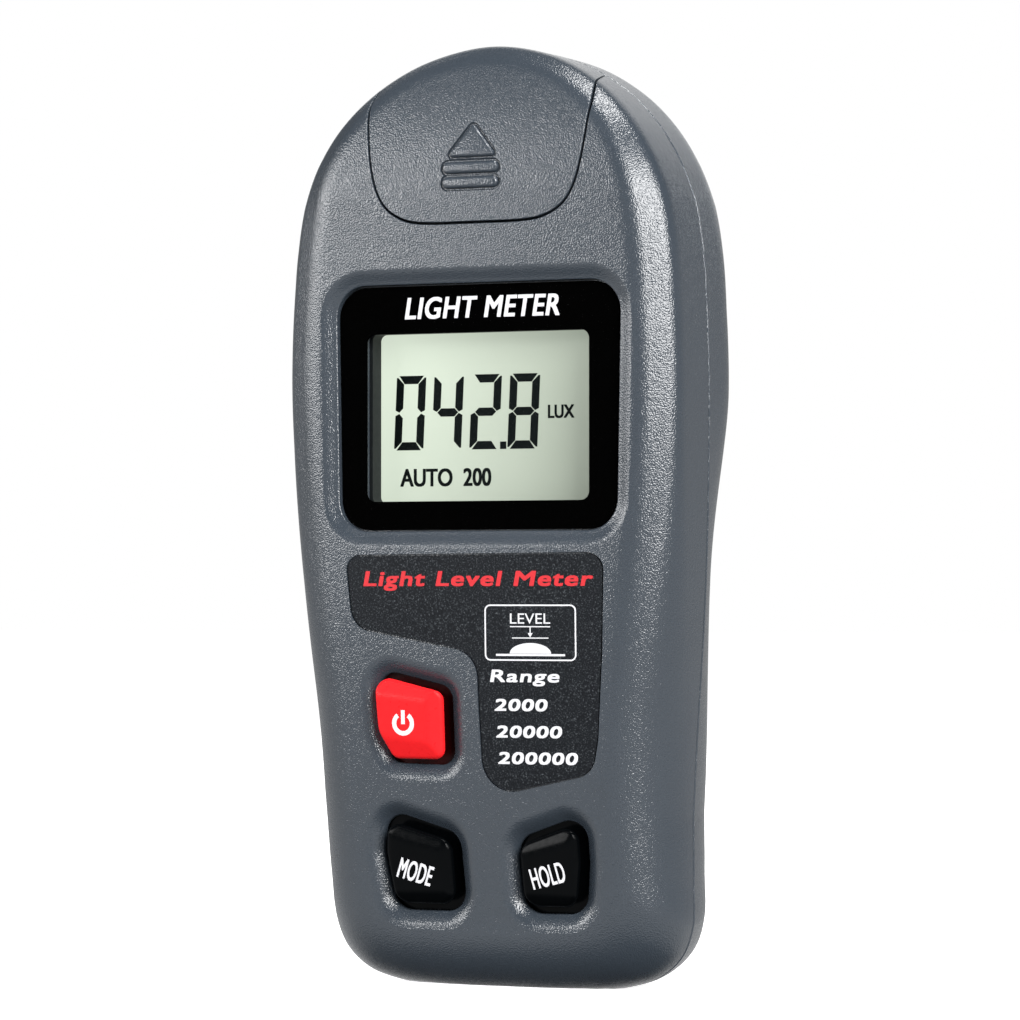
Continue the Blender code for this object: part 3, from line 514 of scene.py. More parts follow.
def spaced(outline, step):
    """The closed outline with extra points, so that no side is longer than step."""
    out = []
    for i, a in enumerate(outline):
        b = outline[(i + 1) % len(outline)]
        n = max(1, int(math.ceil(math.dist(a, b) / step)))
        out += [(a[0] + (b[0] - a[0]) * k / n, a[1] + (b[1] - a[1]) * k / n) for k in range(n)]
    return out


def grown(outline, d):
    pts = np.array(outline, float)
    area = 0.5 * np.sum(pts[:, 0] * np.roll(pts[:, 1], -1) - np.roll(pts[:, 0], -1) * pts[:, 1])
    sign = 1.0 if area > 0 else -1.0
    before, after = pts - np.roll(pts, 1, 0), np.roll(pts, -1, 0) - pts
    before /= np.linalg.norm(before, axis=1)[:, None]
    after /= np.linalg.norm(after, axis=1)[:, None]
    n1 = np.stack([before[:, 1], -before[:, 0]], 1) * sign
    n2 = np.stack([after[:, 1], -after[:, 0]], 1) * sign
    mid = n1 + n2
    mid /= np.linalg.norm(mid, axis=1)[:, None]
    scale = d / np.maximum(np.sum(mid * n1, axis=1), 0.35)
    return [tuple(p) for p in pts + mid * scale[:, None]]


def soft_shade(obj, angle=32.0):
    obj.data.shade_smooth()
    obj.data.set_sharp_from_angle(angle=math.radians(angle))


def place(obj, body, *nodes, slot=None, angle=32.0):
    """Sets the shading, lets the piece ride on its body, and hides the CAD nodes it stands for."""
    soft_shade(obj, angle)
    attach(obj, body)
    if nodes:
        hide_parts(*nodes)
    return obj


# ------------------------------------------------------------------ the case's form
def smooth(a, b, x):
    t = min(max((x - a) / (b - a), 0.0), 1.0)
    return t * t * (3 - 2 * t)


def spline(points, steps):
    p = [Vector(q) for q in points]
    knot = [0.0]
    for a, b in zip(p, p[1:]):
        knot.append(knot[-1] + math.sqrt((b - a).length))
    slopes = []
    for i in range(len(p)):
        if i == 0:
            slopes.append(Vector((1, 0)) * ((p[1] - p[0]).length / (knot[1] - knot[0])))
        elif i == len(p) - 1:
            slopes.append(Vector((-1, 0)) * ((p[-1] - p[-2]).length / (knot[-1] - knot[-2])))
        else:
            ha, hb = knot[i] - knot[i - 1], knot[i + 1] - knot[i]
            a, b = (p[i] - p[i - 1]) / ha, (p[i + 1] - p[i]) / hb
            slopes.append((a * hb + b * ha) / (ha + hb))
    out = []
    for i in range(len(p) - 1):
        h = knot[i + 1] - knot[i]
        for k in range(steps):
            t = k / steps
            out.append((2 * t**3 - 3 * t**2 + 1) * p[i] + (t**3 - 2 * t**2 + t) * h * slopes[i]
                       + (-2 * t**3 + 3 * t**2) * p[i + 1] + (t**3 - t**2) * h * slopes[i + 1])
    out.append(p[-1])
    return out


def outlines(half_count):
    """Outer outline, crease and back edge, right half up then left half down, evenly spaced along the outer one."""
    raw = [np.array([(q.x, q.y) for q in spline([s[c] for s in STATIONS], 24)]) for c in range(3)]
    for line in raw:
        line[:, 1] -= [0.85 * smooth(98, 138, z) for z in line[:, 1]]
    raw[2][:, 0] *= [1 + 0.10 * (1 - smooth(30, 62, z)) * smooth(9, 14, z) for z in raw[2][:, 1]]
    # the two sides differ by a fraction of a millimetre
    wider = {1: ([0, 5, 10, 16, 25, 60, 80, 90, 100, 110, 116, 122, 128],
                 [0.6, 0.85, 0.85, 0.45, 0.0, -0.1, -0.3, -0.4, -0.35, 0.0, 0.3, 0.2, 0.0]),
             -1: ([10, 28, 40, 60, 80, 90, 104, 110, 116, 122, 128, 134, 137, 139],
                  [0.0, 0.45, 0.35, 0.25, 0.35, 0.55, 0.70, 0.90, 1.25, 1.25, 0.95, 0.6, 0.3, 0.0])}
    length = np.concatenate([[0], np.cumsum(np.linalg.norm(np.diff(raw[0], axis=0), axis=1))])
    want = np.linspace(0, length[-1], half_count + 1)
    out = []
    for line in raw:
        x, z = np.interp(want, length, line[:, 0]), np.interp(want, length, line[:, 1])
        near = np.clip(np.abs(x) / 8, 0, 1)
        side = {s: np.stack([s * (x + near * np.interp(z, *wider[s])), z], 1) for s in (1, -1)}
        out.append(np.concatenate([side[1], side[-1][-2:0:-1]]))
    return out


def face_y(x, z):
    y = FRONT + 0.35 * (x / 26.0) ** 2
    if z > 116.0:
        y += (z - 116.0) ** 2 / 125.0
    if z < 62.0:
        y += (62.0 - z) ** 2 / 780.0
    return y


def inward_of(pts):
    d = np.roll(pts, -1, 0) - np.roll(pts, 1, 0)
    d /= np.linalg.norm(d, axis=1)[:, None]
    return np.stack([-d[:, 1], d[:, 0]], 1)


def monotone(xs, ys, at):
    """A smooth curve through the table that never overshoots it."""
    xs, ys = np.array(xs), np.array(ys)
    h, d = np.diff(xs), np.diff(ys) / np.diff(xs)
    m = np.zeros(len(xs))
    m[0], m[-1] = d[0], d[-1]
    for i in range(1, len(xs) - 1):
        if d[i - 1] * d[i] > 0:
            w1, w2 = 2 * h[i] + h[i - 1], h[i] + 2 * h[i - 1]
            m[i] = (w1 + w2) / (w1 / d[i - 1] + w2 / d[i])
    i = min(max(int(np.searchsorted(xs, at)) - 1, 0), len(h) - 1)
    t = (at - xs[i]) / h[i]
    return ((2 * t**3 - 3 * t**2 + 1) * ys[i] + (t**3 - 2 * t**2 + t) * h[i] * m[i]
            + (-2 * t**3 + 3 * t**2) * ys[i + 1] + (t**3 - t**2) * h[i] * m[i + 1])


EDGE_U = [s[0] for s in BEVEL_STEPS]
EDGE_IN = [s[1] for s in BEVEL_STEPS]
EDGE_DEEP = [s[2] for s in BEVEL_STEPS]


def front_solid(name, inset, half_count, samples, fillet=0.0, past=0.0, columns=8, lip=0.0, mat=None):
    """The front half as a solid. fillet rounds the crease, past carries it over the parting plane, and lip breaks
    the edge at the parting plane."""
    outer, crease, _ = outlines(half_count)
    inward, inward_c = inward_of(outer), inward_of(crease)
    n = len(outer)
    rings = []
    for u in samples:
        share_in, share_deep = monotone(EDGE_U, EDGE_IN, u), monotone(EDGE_U, EDGE_DEEP, u)
        ring = []
        for i in range(n):
            soft = 1 - smooth(30, 86, outer[i, 1])
            q0, q1 = outer[i] + inward[i] * inset, crease[i] + inward[i] * inset * 0.45
            a = (1 - soft) * share_in + soft * (1 - math.cos(u * math.pi / 2))
            d = (1 - soft) * share_deep + soft * (1 - math.sin(u * math.pi / 2))
            top = face_y(*crease[i]) + inset
            q = q0 + (q1 - q0) * a
            ring.append((q[0], top + (SEAM - top) * d, max(q[1], inset)))
        rings.append(ring)
    if fillet:
        a3 = np.array(rings)
        keep, fan = [], []
        for i in range(n):
            line = a3[:, i]
            back_off = np.concatenate([[0], np.cumsum(np.linalg.norm(np.diff(line[::-1], axis=0), axis=1))])[::-1]
            start = np.array([np.interp(fillet, back_off[::-1], line[::-1, k]) for k in range(3)])
            c = crease[i] + inward_c[i] * fillet
            end = np.array([c[0], face_y(c[0], c[1]) + inset, c[1]])
            # squeeze the whole profile into the stretch before the fillet starts
            target = back_off[0] - (back_off[0] - back_off) * (back_off[0] - fillet) / back_off[0]
            keep.append(np.stack([np.interp(target[::-1], back_off[::-1], line[::-1, k])[::-1] for k in range(3)], 1))
            fan.append([(1 - t) ** 2 * start + 2 * t * (1 - t) * line[-1] + t * t * end
                        for t in np.linspace(0, 1, 8)[1:]])
        keep, fan = np.array(keep), np.array(fan)
        rings = [[tuple(p) for p in keep[:, k]] for k in range(keep.shape[1])]
        rings += [[tuple(p) for p in fan[:, k]] for k in range(fan.shape[1])]
    if lip:
        first = rings[0]
        edge = [(x + inward[i, 0] * lip, SEAM, z + inward[i, 1] * lip) for i, (x, y, z) in enumerate(first)]
        low = [(x, SEAM - lip, z) for x, y, z in first]
        rings = [edge, low] + rings[1:]
    if past:
        rings.insert(0, [(x, SEAM + past, z) for x, y, z in rings[0]])
    base, half = (len(rings) - 1) * n, n // 2
    points, faces, rows = [], [], []
    total, last = len(rings) * n, rings[-1]
    for j in range(half + 1):
        r, l = base + j, base + (n - j) % n
        if j in (0, half):
            rows.append([r])
            continue
        row = [r]
        for k in range(1, columns):
            x = last[j][0] * (1 - 2 * k / columns)
            row.append(total + len(points))
            points.append((x, face_y(x, last[j][2]) + inset, last[j][2]))
        rows.append(row + [l])
    for a, b in zip(rows, rows[1:]):
        if len(a) == 1:
            faces += [(a[0], b[k], b[k + 1]) for k in range(columns)]
        elif len(b) == 1:
            faces += [(a[k], b[0], a[k + 1]) for k in range(columns)]
        else:
            faces += [(a[k], b[k], b[k + 1], a[k + 1]) for k in range(columns)]
    return loft(name, rings, mat, True, False, points, faces)


def rear_solid(name, inset, half_count, samples, past=0.0, start=SEAM + GAP, lip=0.0, mat=None):
    outer, _, back = outlines(half_count)
    inward = inward_of(outer)
    rings = []
    for d in samples:
        ring = []
        for i in range(len(outer)):
            z = outer[i, 1]
            draft = (0.36 * (1 - smooth(60, 88, z)) - 0.20 * (1 - smooth(28, 58, z))) * smooth(2, 14, z)
            hold = 0.40 * smooth(60, 92, z)
            e = max(0.0, (d - hold) / (1 - hold))
            a = draft * d + (1 - draft) * (1 - math.sqrt(max(0.0, 1 - e * e)))
            extra = lip if d == 0 else 0.0
            q0, q1 = outer[i] + inward[i] * (inset + extra), back[i] + inward[i] * inset * 0.45
            q = q0 + (q1 - q0) * a
            ring.append((q[0], start + (BACK - inset - start) * d, max(q[1], inset)))
        rings.append(ring)
    if past:
        rings.insert(0, [(x, start - past, z) for x, y, z in rings[0]])
    return loft(name, rings, mat)


def face_slab(name, x0, x1, z0, z1, front, back, nx=40, step=0.8):
    nz = max(2, int(round((z1 - z0) / step)))
    points, faces = [], []
    for off in (front, back):
        for j in range(nz + 1):
            for i in range(nx + 1):
                x, z = x0 + (x1 - x0) * i / nx, z0 + (z1 - z0) * j / nz
                points.append((x, face_y(x, z) + off, z))
    layer = (nx + 1) * (nz + 1)
    at = lambda s, i, j: s * layer + j * (nx + 1) + i
    for s in (0, 1):
        for j in range(nz):
            for i in range(nx):
                faces.append((at(s, i, j), at(s, i + 1, j), at(s, i + 1, j + 1), at(s, i, j + 1)))
    for j in range(nz):
        faces.append((at(0, 0, j), at(0, 0, j + 1), at(1, 0, j + 1), at(1, 0, j)))
        faces.append((at(0, nx, j), at(0, nx, j + 1), at(1, nx, j + 1), at(1, nx, j)))
    for i in range(nx):
        faces.append((at(0, i, 0), at(0, i + 1, 0), at(1, i + 1, 0), at(1, i, 0)))
        faces.append((at(0, i, nz), at(0, i + 1, nz), at(1, i + 1, nz), at(1, i, nz)))
    return solid(name, points, faces)


def sunk(name, outline, profile, floor=None, mat=None):
    """A tool or a piece laid into the face: rings at (growth, depth below the face), then straight down to floor."""
    rings = [[(x, face_y(x, z) + off, z) for x, z in grown(outline, d)] for d, off in profile]
    if floor is not None:
        rings.append([(x, floor, z) for x, _, z in rings[-1]])
    return loft(name, rings, mat)


def cap_outline(d):
    """The sensor cap's plan, grown by d. The corners of its edge are cut twice to a smooth line."""
    line = CAP_EDGE[:6] + [(17.7, 126.0), (18.1, 130.0), (18.4, 134.0), (18.8, 141.5)]
    for _ in range(2):
        line = [line[0]] + [tuple(a[k] + (b[k] - a[k]) * s for k in (0, 1)) for a, b in zip(line, line[1:])
                            for s in (0.25, 0.75)] + [line[-1]]
    plan = line + [(line[-1][0], 150.0), (-line[-1][0], 150.0)] + [(-x, z) for x, z in line[:0:-1]]
    return grown(spaced(plan, 0.5), d)


# ------------------------------------------------------------------ front shell
HALF = 380 if FINE else 150
DENSE_U = [0.0, 0.1, 0.17, 0.22] + list(np.linspace(0.25, 1.0, 30 if FINE else 12))
COARSE_U = [0.0, 0.25, 0.4, 0.55, 0.7, 0.82, 0.92, 1.0]
front = front_solid("front_shell", 0.0, HALF, DENSE_U, fillet=1.5, columns=104 if FINE else 40, lip=0.18, mat=GREY)
bpy.context.view_layer.update()
SKIN = BVHTree.FromObject(front, bpy.context.evaluated_depsgraph_get())


def surf(x, z):
    hit = SKIN.ray_cast(Vector((x * MM, -0.05, z * MM)), Vector((0, 1, 0)))[0]
    return hit.y / MM if hit else SEAM


LEAN, LEAN_FROM = 0.0155, -12.3


def laid(name, plan_of, profile, top=None, floor=None, mat=None):
    """As sunk, on the true surface of the case, edge and all. plan_of gives the outline for a growth."""
    rings = []
    for d, off in profile:
        ring = []
        for x, z in plan_of(d):
            # the cut leans in towards the middle as it goes deeper
            px = x
            for _ in range(4):
                y = surf(px, z) + off
                px = x * (1 - LEAN * max(0.0, y - LEAN_FROM))
            ring.append((px, y, z))
        rings.append(ring)
    if top is not None:
        rings.insert(0, [(x, top, z) for x, _, z in rings[0]])
    if floor is not None:
        lean_in = 1 - LEAN * (floor - LEAN_FROM)
        rings.append([(x * lean_in, floor, z) for x, z in plan_of(profile[-1][0])])
    return loft(name, rings, mat)


window = spaced(rounded(WINDOW, WINDOW_R, 12), 1.2)
hollow = front_solid("front_hollow", WALL, 100, COARSE_U, past=1.0)
cut(hollow, prism("window_frame", grown(window, 2.0), -16.0, LEDGE_Y[1]))
cap_blank = front_solid("sensor_cap_shell", 0.0, HALF, DENSE_U, fillet=1.5, columns=104 if FINE else 40, lip=0.18,
                        mat=GREY)
cut(front, hollow)
# rim of the display window: a wide hollow ramp down to the lens
RIM = [(3.1, -0.8), (2.7, -0.05), (2.5, 0.0), (2.25, 0.05), (1.9, 0.18), (1.5, 0.38), (1.1, 0.60), (0.75, 0.78),
       (0.5, 0.88), (0.35, 0.93), (0.25, 1.02), (0.2, 1.2)]
cut(front, sunk("window_rim", window, RIM, LEDGE_Y[0]))
x0, x1, z0, z1 = LCD_OPENING
cut(front, prism("window_hole", rounded([(x0, z0), (x1, z0), (x1, z1), (x0, z1)], 1.0, 6), -20.0, -8.0))
# dished openings of the keys
CRATER = [(4.0, -0.9), (3.5, -0.05), (3.25, 0.0), (2.95, 0.04), (2.6, 0.13), (2.2, 0.30), (1.8, 0.54), (1.4, 0.82),
          (1.15, 1.02), (0.95, 1.17), (0.84, 1.24), (0.76, 1.34), (0.72, 1.6)]
POWER_TOP = [(-15.7, 46.2), (-4.9, 43.7), (-4.7, 33.6), (-13.6, 33.8), (-15.2, 38.0)]
POWER_ROUND = [1.9, 1.5, 1.5, 1.5, 6.0]
MODE_TOP = [(-15.0, 25.3), (-4.4, 22.2), (-3.9, 12.0), (-14.2, 12.0), (-15.6, 20.0)]
HOLD_TOP = [(6.3, 21.7), (16.0, 25.2), (16.2, 19.0), (15.5, 12.1), (6.8, 12.0)]
for corners, radius, deep in ((POWER_TOP, POWER_ROUND, 1.0), (MODE_TOP, KEY_R, 1.15), (HOLD_TOP, KEY_R, 1.15)):
    plan = spaced(rounded(corners, radius, 10), 0.6)
    cut(front, sunk("crater", plan, [(d, off * deep) for d, off in CRATER], -7.0))
# label recess, with a broken edge
LABEL_PLAN = [(-20.9, 63.6), (20.6, 63.9), (20.3, 49.9), (19.4, 37.0), (18.4, 32.0), (1.3, 28.3), (0.8, 42.0),
              (0.6, 49.5), (-19.8, 53.2)]
label_plan = spaced(rounded(LABEL_PLAN, [2.0, 2.4, 12.0, 12.0, 3.4, 4.6, 12.0, 5.6, 3.6], 10), 1.0)
recess = prism("label_recess", grown(label_plan, 0.22), -20.0, -5.0)
common(recess, face_slab("slab", -26, 26, 24, 70, -1.5, 0.5))
cut(front, recess)
cut(front, laid("cap_opening", cap_outline, [(0.30, -0.03), (0.22, 0.03), (0.17, 0.10), (0.15, 0.22)],
                top=-30.0, floor=5.0))
place(front, "case", "front_case", slot="case_grey")

label = prism("label", label_plan, -20.0, -5.0, LABEL_M)
common(label, face_slab("slab", -26, 26, 24, 70, 0.10, 0.45))
place(label, "case", "label_plate", slot="label_film")

# ------------------------------------------------------------------ sensor cap
cap = cap_blank
cut(cap, front_solid("cap_hollow", CAP_SKIN, 140, COARSE_U, past=1.0))
common(cap, laid("cap_plan", cap_outline, [(-0.30, -0.03), (-0.22, 0.03), (-0.17, 0.10), (-0.15, 0.22)],
                 top=-30.0, floor=5.0))
for s in (-1, 1):
    leg = box("leg", min(s * 14.2, s * 15.6), max(s * 14.2, s * 15.6), -13.4, -9.2, 118.6, 124.4)
    foot = box("foot", min(s * 14.4, s * 18.6), max(s * 14.4, s * 18.6), -10.6, -9.2, 118.6, 124.4)
    join(cap, join(leg, foot))
MARKS = [rounded([(-4.2, 122.3), (3.4, 122.3), (-0.4, 127.0)], [0.35, 0.35, 0.45], 5),
         rounded([(-4.85, 119.9), (3.8, 119.9), (3.8, 121.3), (-4.85, 121.3)], 0.66, 6),
         rounded([(-4.85, 117.7), (3.8, 117.7), (3.8, 119.1), (-4.85, 119.1)], 0.66, 6)]
for plan in MARKS:
    plan = spaced(plan, 0.5)
    cut(cap, sunk("groove", plan, [(0.62, -0.6), (0.56, -0.02), (0.46, 0.16), (0.36, 0.3)]))
    join(cap, sunk("mark", plan, [(0.18, 0.7), (0.18, 0.1), (0.1, -0.12), (-0.02, -0.26), (-0.18, -0.34),
                                  (-0.34, -0.37)]))
place(cap, "cap", "sensor_cap", slot="case_grey")

# ------------------------------------------------------------------ display
lens = loft("window_lens", [[(x, LENS_Y[1], z) for x, z in window], [(x, LENS_Y[0] + 0.12, z) for x, z in window],
                            [(x, LENS_Y[0], z) for x, z in grown(window, -0.12)]], LENS_M)
place(lens, "case", "display_window", slot="clear_lens")
mask = prism("window_mask", window, *MASK_Y, MASK)
cut(mask, prism("hole", rounded([(-18.4, 71.7), (17.7, 71.7), (17.7, 96.5), (-18.4, 96.5)], 1.3, 8), -14, -10))
place(mask, "case", "display_mask", slot="black_plastic")
bezel = box("lcd_bezel", -22.4, 22.4, -10.1, -2.9, 67.3, 101.2, WELL)
hole = [(-18.7, 71.3), (18.0, 71.3), (18.0, 96.9), (-18.7, 96.9)]
cut(bezel, loft("front_hole", [[(x, -12, z) for x, z in rounded(hole, 1.2, 6)],
                               [(x, -6.0, z) for x, z in grown(rounded(hole, 1.2, 6), -0.25)]]),
    box("pocket", -20.8, 20.8, -7.5, 0.0, 69.0, 99.5))
place(bezel, "case", "lcd_frame", slot="black_plastic")

# seven-segment figures, printed just in front of the cell
SEGMENTS = {"0": "abcdef", "1": "bc", "2": "abged", "3": "abgcd", "4": "fgbc", "5": "afgcd", "6": "afgedc",
            "7": "abc", "8": "abcdefg", "9": "abcdfg"}


def slab_mesh(name, shapes, y0, y1, mat):
    """Several flat shapes as one mesh of closed prisms."""
    points, faces = [], []
    for shape in shapes:
        base, n = len(points), len(shape)
        points += [(x, y0, z) for x, z in shape] + [(x, y1, z) for x, z in shape]
        faces += [tuple(base + i for i in range(n)), tuple(base + n + i for i in range(n))]
        faces += [(base + i, base + (i + 1) % n, base + n + (i + 1) % n, base + n + i) for i in range(n)]
    return solid(name, points, faces, mat)


def figure(digit, x, z, w, h, t, lean):
    """Bars of one digit. x, z is its lower left corner, t the bar width, lean the slant."""
    m, g, c = h / 2, t / 2, 0.10
    rows = {"a": h - g, "g": m, "d": g}
    shapes = []
    for name in SEGMENTS[digit]:
        if name in rows:
            r = rows[name]
            if name == "g":
                s = [(g + c, r), (t + c, r + g), (w - t - c, r + g), (w - g - c, r), (w - t - c, r - g), (t + c, r - g)]
            else:
                o, i = (r + g, r - g) if name == "a" else (r - g, r + g)
                s = [(g * 0.5 + c, o), (w - g * 0.5 - c, o), (w - t - c, i), (t + c, i)]
        else:
            low, high = (m + c, h - c - g * 0.3) if name in "bf" else (c + g * 0.3, m - c)
            left = name in "ef"
            o, i = (0.0, t) if left else (w, w - t)
            k = 1 if left else -1
            if name in "bf":
                s = [(o, high), (o + k * g * 0.4, high), (i, high - t * 0.8), (i, low + g), (o + k * g, low),
                     (o, low + g * 0.5)]
            else:
                s = [(o, low), (o + k * g * 0.4, low), (i, low + t * 0.8), (i, high - g), (o + k * g, high),
                     (o, high - g * 0.5)]
        shapes.append([(x + px + pz * lean, z + pz) for px, pz in s])
    return shapes


PRINT_Y = (LCD_Y[0] - 0.05, LCD_Y[0] - 0.005)
bars, wide, tall, lean = [], 4.85, 11.1, 0.045
for k, digit in enumerate("0428"):
    bars += figure(digit, -16.5 + k * 6.22, 79.45, wide, tall, 1.22, lean)
bars.append([(-16.5 + 2 * 6.22 + 5.05 + px, 79.45 + pz) for px, pz in ((0, 0), (1.0, 0), (1.0, 1.1), (0, 1.1))])
place(slab_mesh("lcd_figures", bars, *PRINT_Y, SEGMENT), "case", slot="lcd")


def lettering(name, text, x0, x1, z0, z1, mat, lean=0.0, bold=0.0, turn=0.0, lay=None, thick=0.05, space=1.0):
    """Text as thin closed solids, fitted to the box and laid on lay(x, z). bold, in millimetres, is how far the
    overlaid copies that thicken the strokes stand apart."""
    curve = bpy.data.curves.new(name, "FONT")
    curve.body = text
    curve.size = 1.0
    curve.resolution_u = 5
    curve.space_character = space
    curve.extrude = 0.05
    obj = bpy.data.objects.new(name, curve)
    bpy.context.scene.collection.objects.link(obj)
    glyphs = evaluated(obj)
    bpy.data.objects.remove(obj, do_unlink=True)
    bm = bmesh.new()
    bm.from_mesh(glyphs)
    bmesh.ops.remove_doubles(bm, verts=bm.verts, dist=1e-5)
    co = np.array([tuple(v.co) for v in bm.verts])
    polys = [[v.index for v in f.verts] for f in bm.faces]
    bm.free()
    bpy.data.meshes.remove(glyphs)
    low, high = co.min(0), co.max(0)
    u = (co[:, 0] - low[0]) / (high[0] - low[0])
    v = (co[:, 1] - low[1]) / (high[1] - low[1])
    w, h = x1 - x0 - 2 * bold, z1 - z0 - 1.4 * bold
    px = u * (w - abs(lean) * h) + v * h * lean - w / 2 + (abs(lean) * h if lean < 0 else 0)
    pz = v * h - h / 2
    c, s = math.cos(turn), math.sin(turn)
    cx, cz = (x0 + x1) / 2, (z0 + z1) / 2
    shifts = [(0, 0)] if not bold else [(-bold, -0.7 * bold), (bold, -0.7 * bold), (-bold, 0.7 * bold),
                                        (bold, 0.7 * bold), (0, 0)]
    points, faces = [], []
    for k, (sx, sz) in enumerate(shifts):
        base = len(points)
        for qx, qz, depth in zip(px + sx, pz + sz, co[:, 2]):
            gx, gz = cx + qx * c - qz * s, cz + qx * s + qz * c
            points.append((gx, lay(gx, gz) - (thick + 0.002 * k if depth > 0 else 0.0), gz))
        faces += [[base + i for i in f] for f in polys]
    return solid(name, points, faces, mat)


on_lcd = lambda x, z: LCD_Y[0] - 0.005
place(lettering("lcd_unit", "LUX", 8.75, 13.0, 83.85, 85.85, SEGMENT, 0.0, 0.07, lay=on_lcd, thick=0.045),
      "case", slot="lcd")
place(lettering("lcd_mode_text", "AUTO  200", -15.45, -0.45, 74.0, 76.7, SEGMENT, 0.0, 0.09, lay=on_lcd, thick=0.045),
      "case", slot="lcd")
place(lettering("mask_title", "LIGHT METER", -12.1, 13.5, 98.6, 101.85, INK_WHITE, 0.16, 0.10,
                lay=lambda x, z: MASK_Y[0], thick=0.04, space=1.08), "case", slot="black_plastic")
on_label = lambda x, z: face_y(x, z) + 0.10
for name, text, lx0, lx1, lz0, lz1, mat, bold in (
        ("label_title", "Light Level Meter", -18.2, 19.3, 58.5, 61.4, INK_RED, 0.11),
        ("label_range", "Range", 2.45, 13.9, 44.6, 47.0, INK_WHITE, 0.08),
        ("label_range_1", "2000", 3.15, 11.85, 40.95, 42.75, INK_WHITE, 0.10),
        ("label_range_2", "20000", 3.3, 14.05, 37.05, 38.85, INK_WHITE, 0.10),
        ("label_range_3", "200000", 3.5, 16.45, 33.2, 35.0, INK_WHITE, 0.10)):
    place(lettering(name, text, lx0, lx1, lz0, lz1, mat, 0.2, bold, lay=on_label, thick=0.03, space=1.1), "case",
          slot="label_film")
place(lettering("label_level", "LEVEL", 5.9, 12.3, 53.7, 55.2, INK_WHITE, 0.0, 0.0, lay=on_label, thick=0.03), "case",
      slot="label_film")


def draped(name, shapes, mat, lay, thick=0.03):
    """Flat shapes, each a quad strip or fan, laid on the surface."""
    points, faces = [], []
    for shape in shapes:
        base, n = len(points), len(shape)
        points += [(x, lay(x, z) - thick, z) for x, z in shape] + [(x, lay(x, z), z) for x, z in shape]
        faces += [tuple(base + i for i in range(n)), tuple(base + n + i for i in range(n))]
        faces += [(base + i, base + (i + 1) % n, base + n + (i + 1) % n, base + n + i) for i in range(n)]
    return solid(name, points, faces, mat)


def band(path, width):
    """Quads along an open or closed path, overlapping nowhere: one strip outline."""
    pts = np.array(path, float)
    d = np.gradient(pts, axis=0)
    d /= np.linalg.norm(d, axis=1)[:, None]
    nrm = np.stack([-d[:, 1], d[:, 0]], 1) * width / 2
    left, right_ = pts + nrm, pts - nrm
    return [tuple(p) for p in left] + [tuple(p) for p in right_[::-1]]


def ring_solid(name, outer_plan, width, mat, lay, thick=0.03):
    inner = grown(outer_plan, -width)
    n = len(outer_plan)
    rings = [[(x, lay(x, z), z) for x, z in outer_plan], [(x, lay(x, z) - thick, z) for x, z in outer_plan],
             [(x, lay(x, z) - thick, z) for x, z in inner], [(x, lay(x, z), z) for x, z in inner]]
    points = [p for ring in rings for p in ring]
    faces = [(k * n + i, k * n + (i + 1) % n, ((k + 1) % 4) * n + (i + 1) % n, ((k + 1) % 4) * n + i)
             for k in range(4) for i in range(n)]
    return solid(name, points, faces, mat)


frame_plan = spaced(rounded([(1.8, 48.3), (16.4, 48.3), (16.4, 56.5), (1.8, 56.5)], 0.9, 6), 1.0)
place(ring_solid("label_frame", frame_plan, 0.22, INK_WHITE, on_label), "case", slot="label_film")
dome = [(9.1 + 3.3 * math.cos(t), 49.35 + 1.55 * math.sin(t)) for t in np.linspace(0, math.pi, 25)]
place(draped("label_pictogram", [
    [(3.6, 49.0), (14.6, 49.0), (14.6, 49.3), (3.6, 49.3)],
    dome,
    [(6.2, 51.55), (12.0, 51.55), (12.0, 51.7), (6.2, 51.7)],
    [(5.9, 53.2), (12.3, 53.2), (12.3, 53.35), (5.9, 53.35)],
    [(9.02, 52.2), (9.18, 52.2), (9.18, 53.2), (9.02, 53.2)],
    [(9.1, 51.72), (9.5, 52.35), (8.7, 52.35)]], INK_WHITE, on_label), "case", slot="label_film")


# ------------------------------------------------------------------ keys
def softmin(values, k=0.09):
    m = min(values)
    return m - k * math.log(sum(math.exp(-(v - m) / k) for v in values))


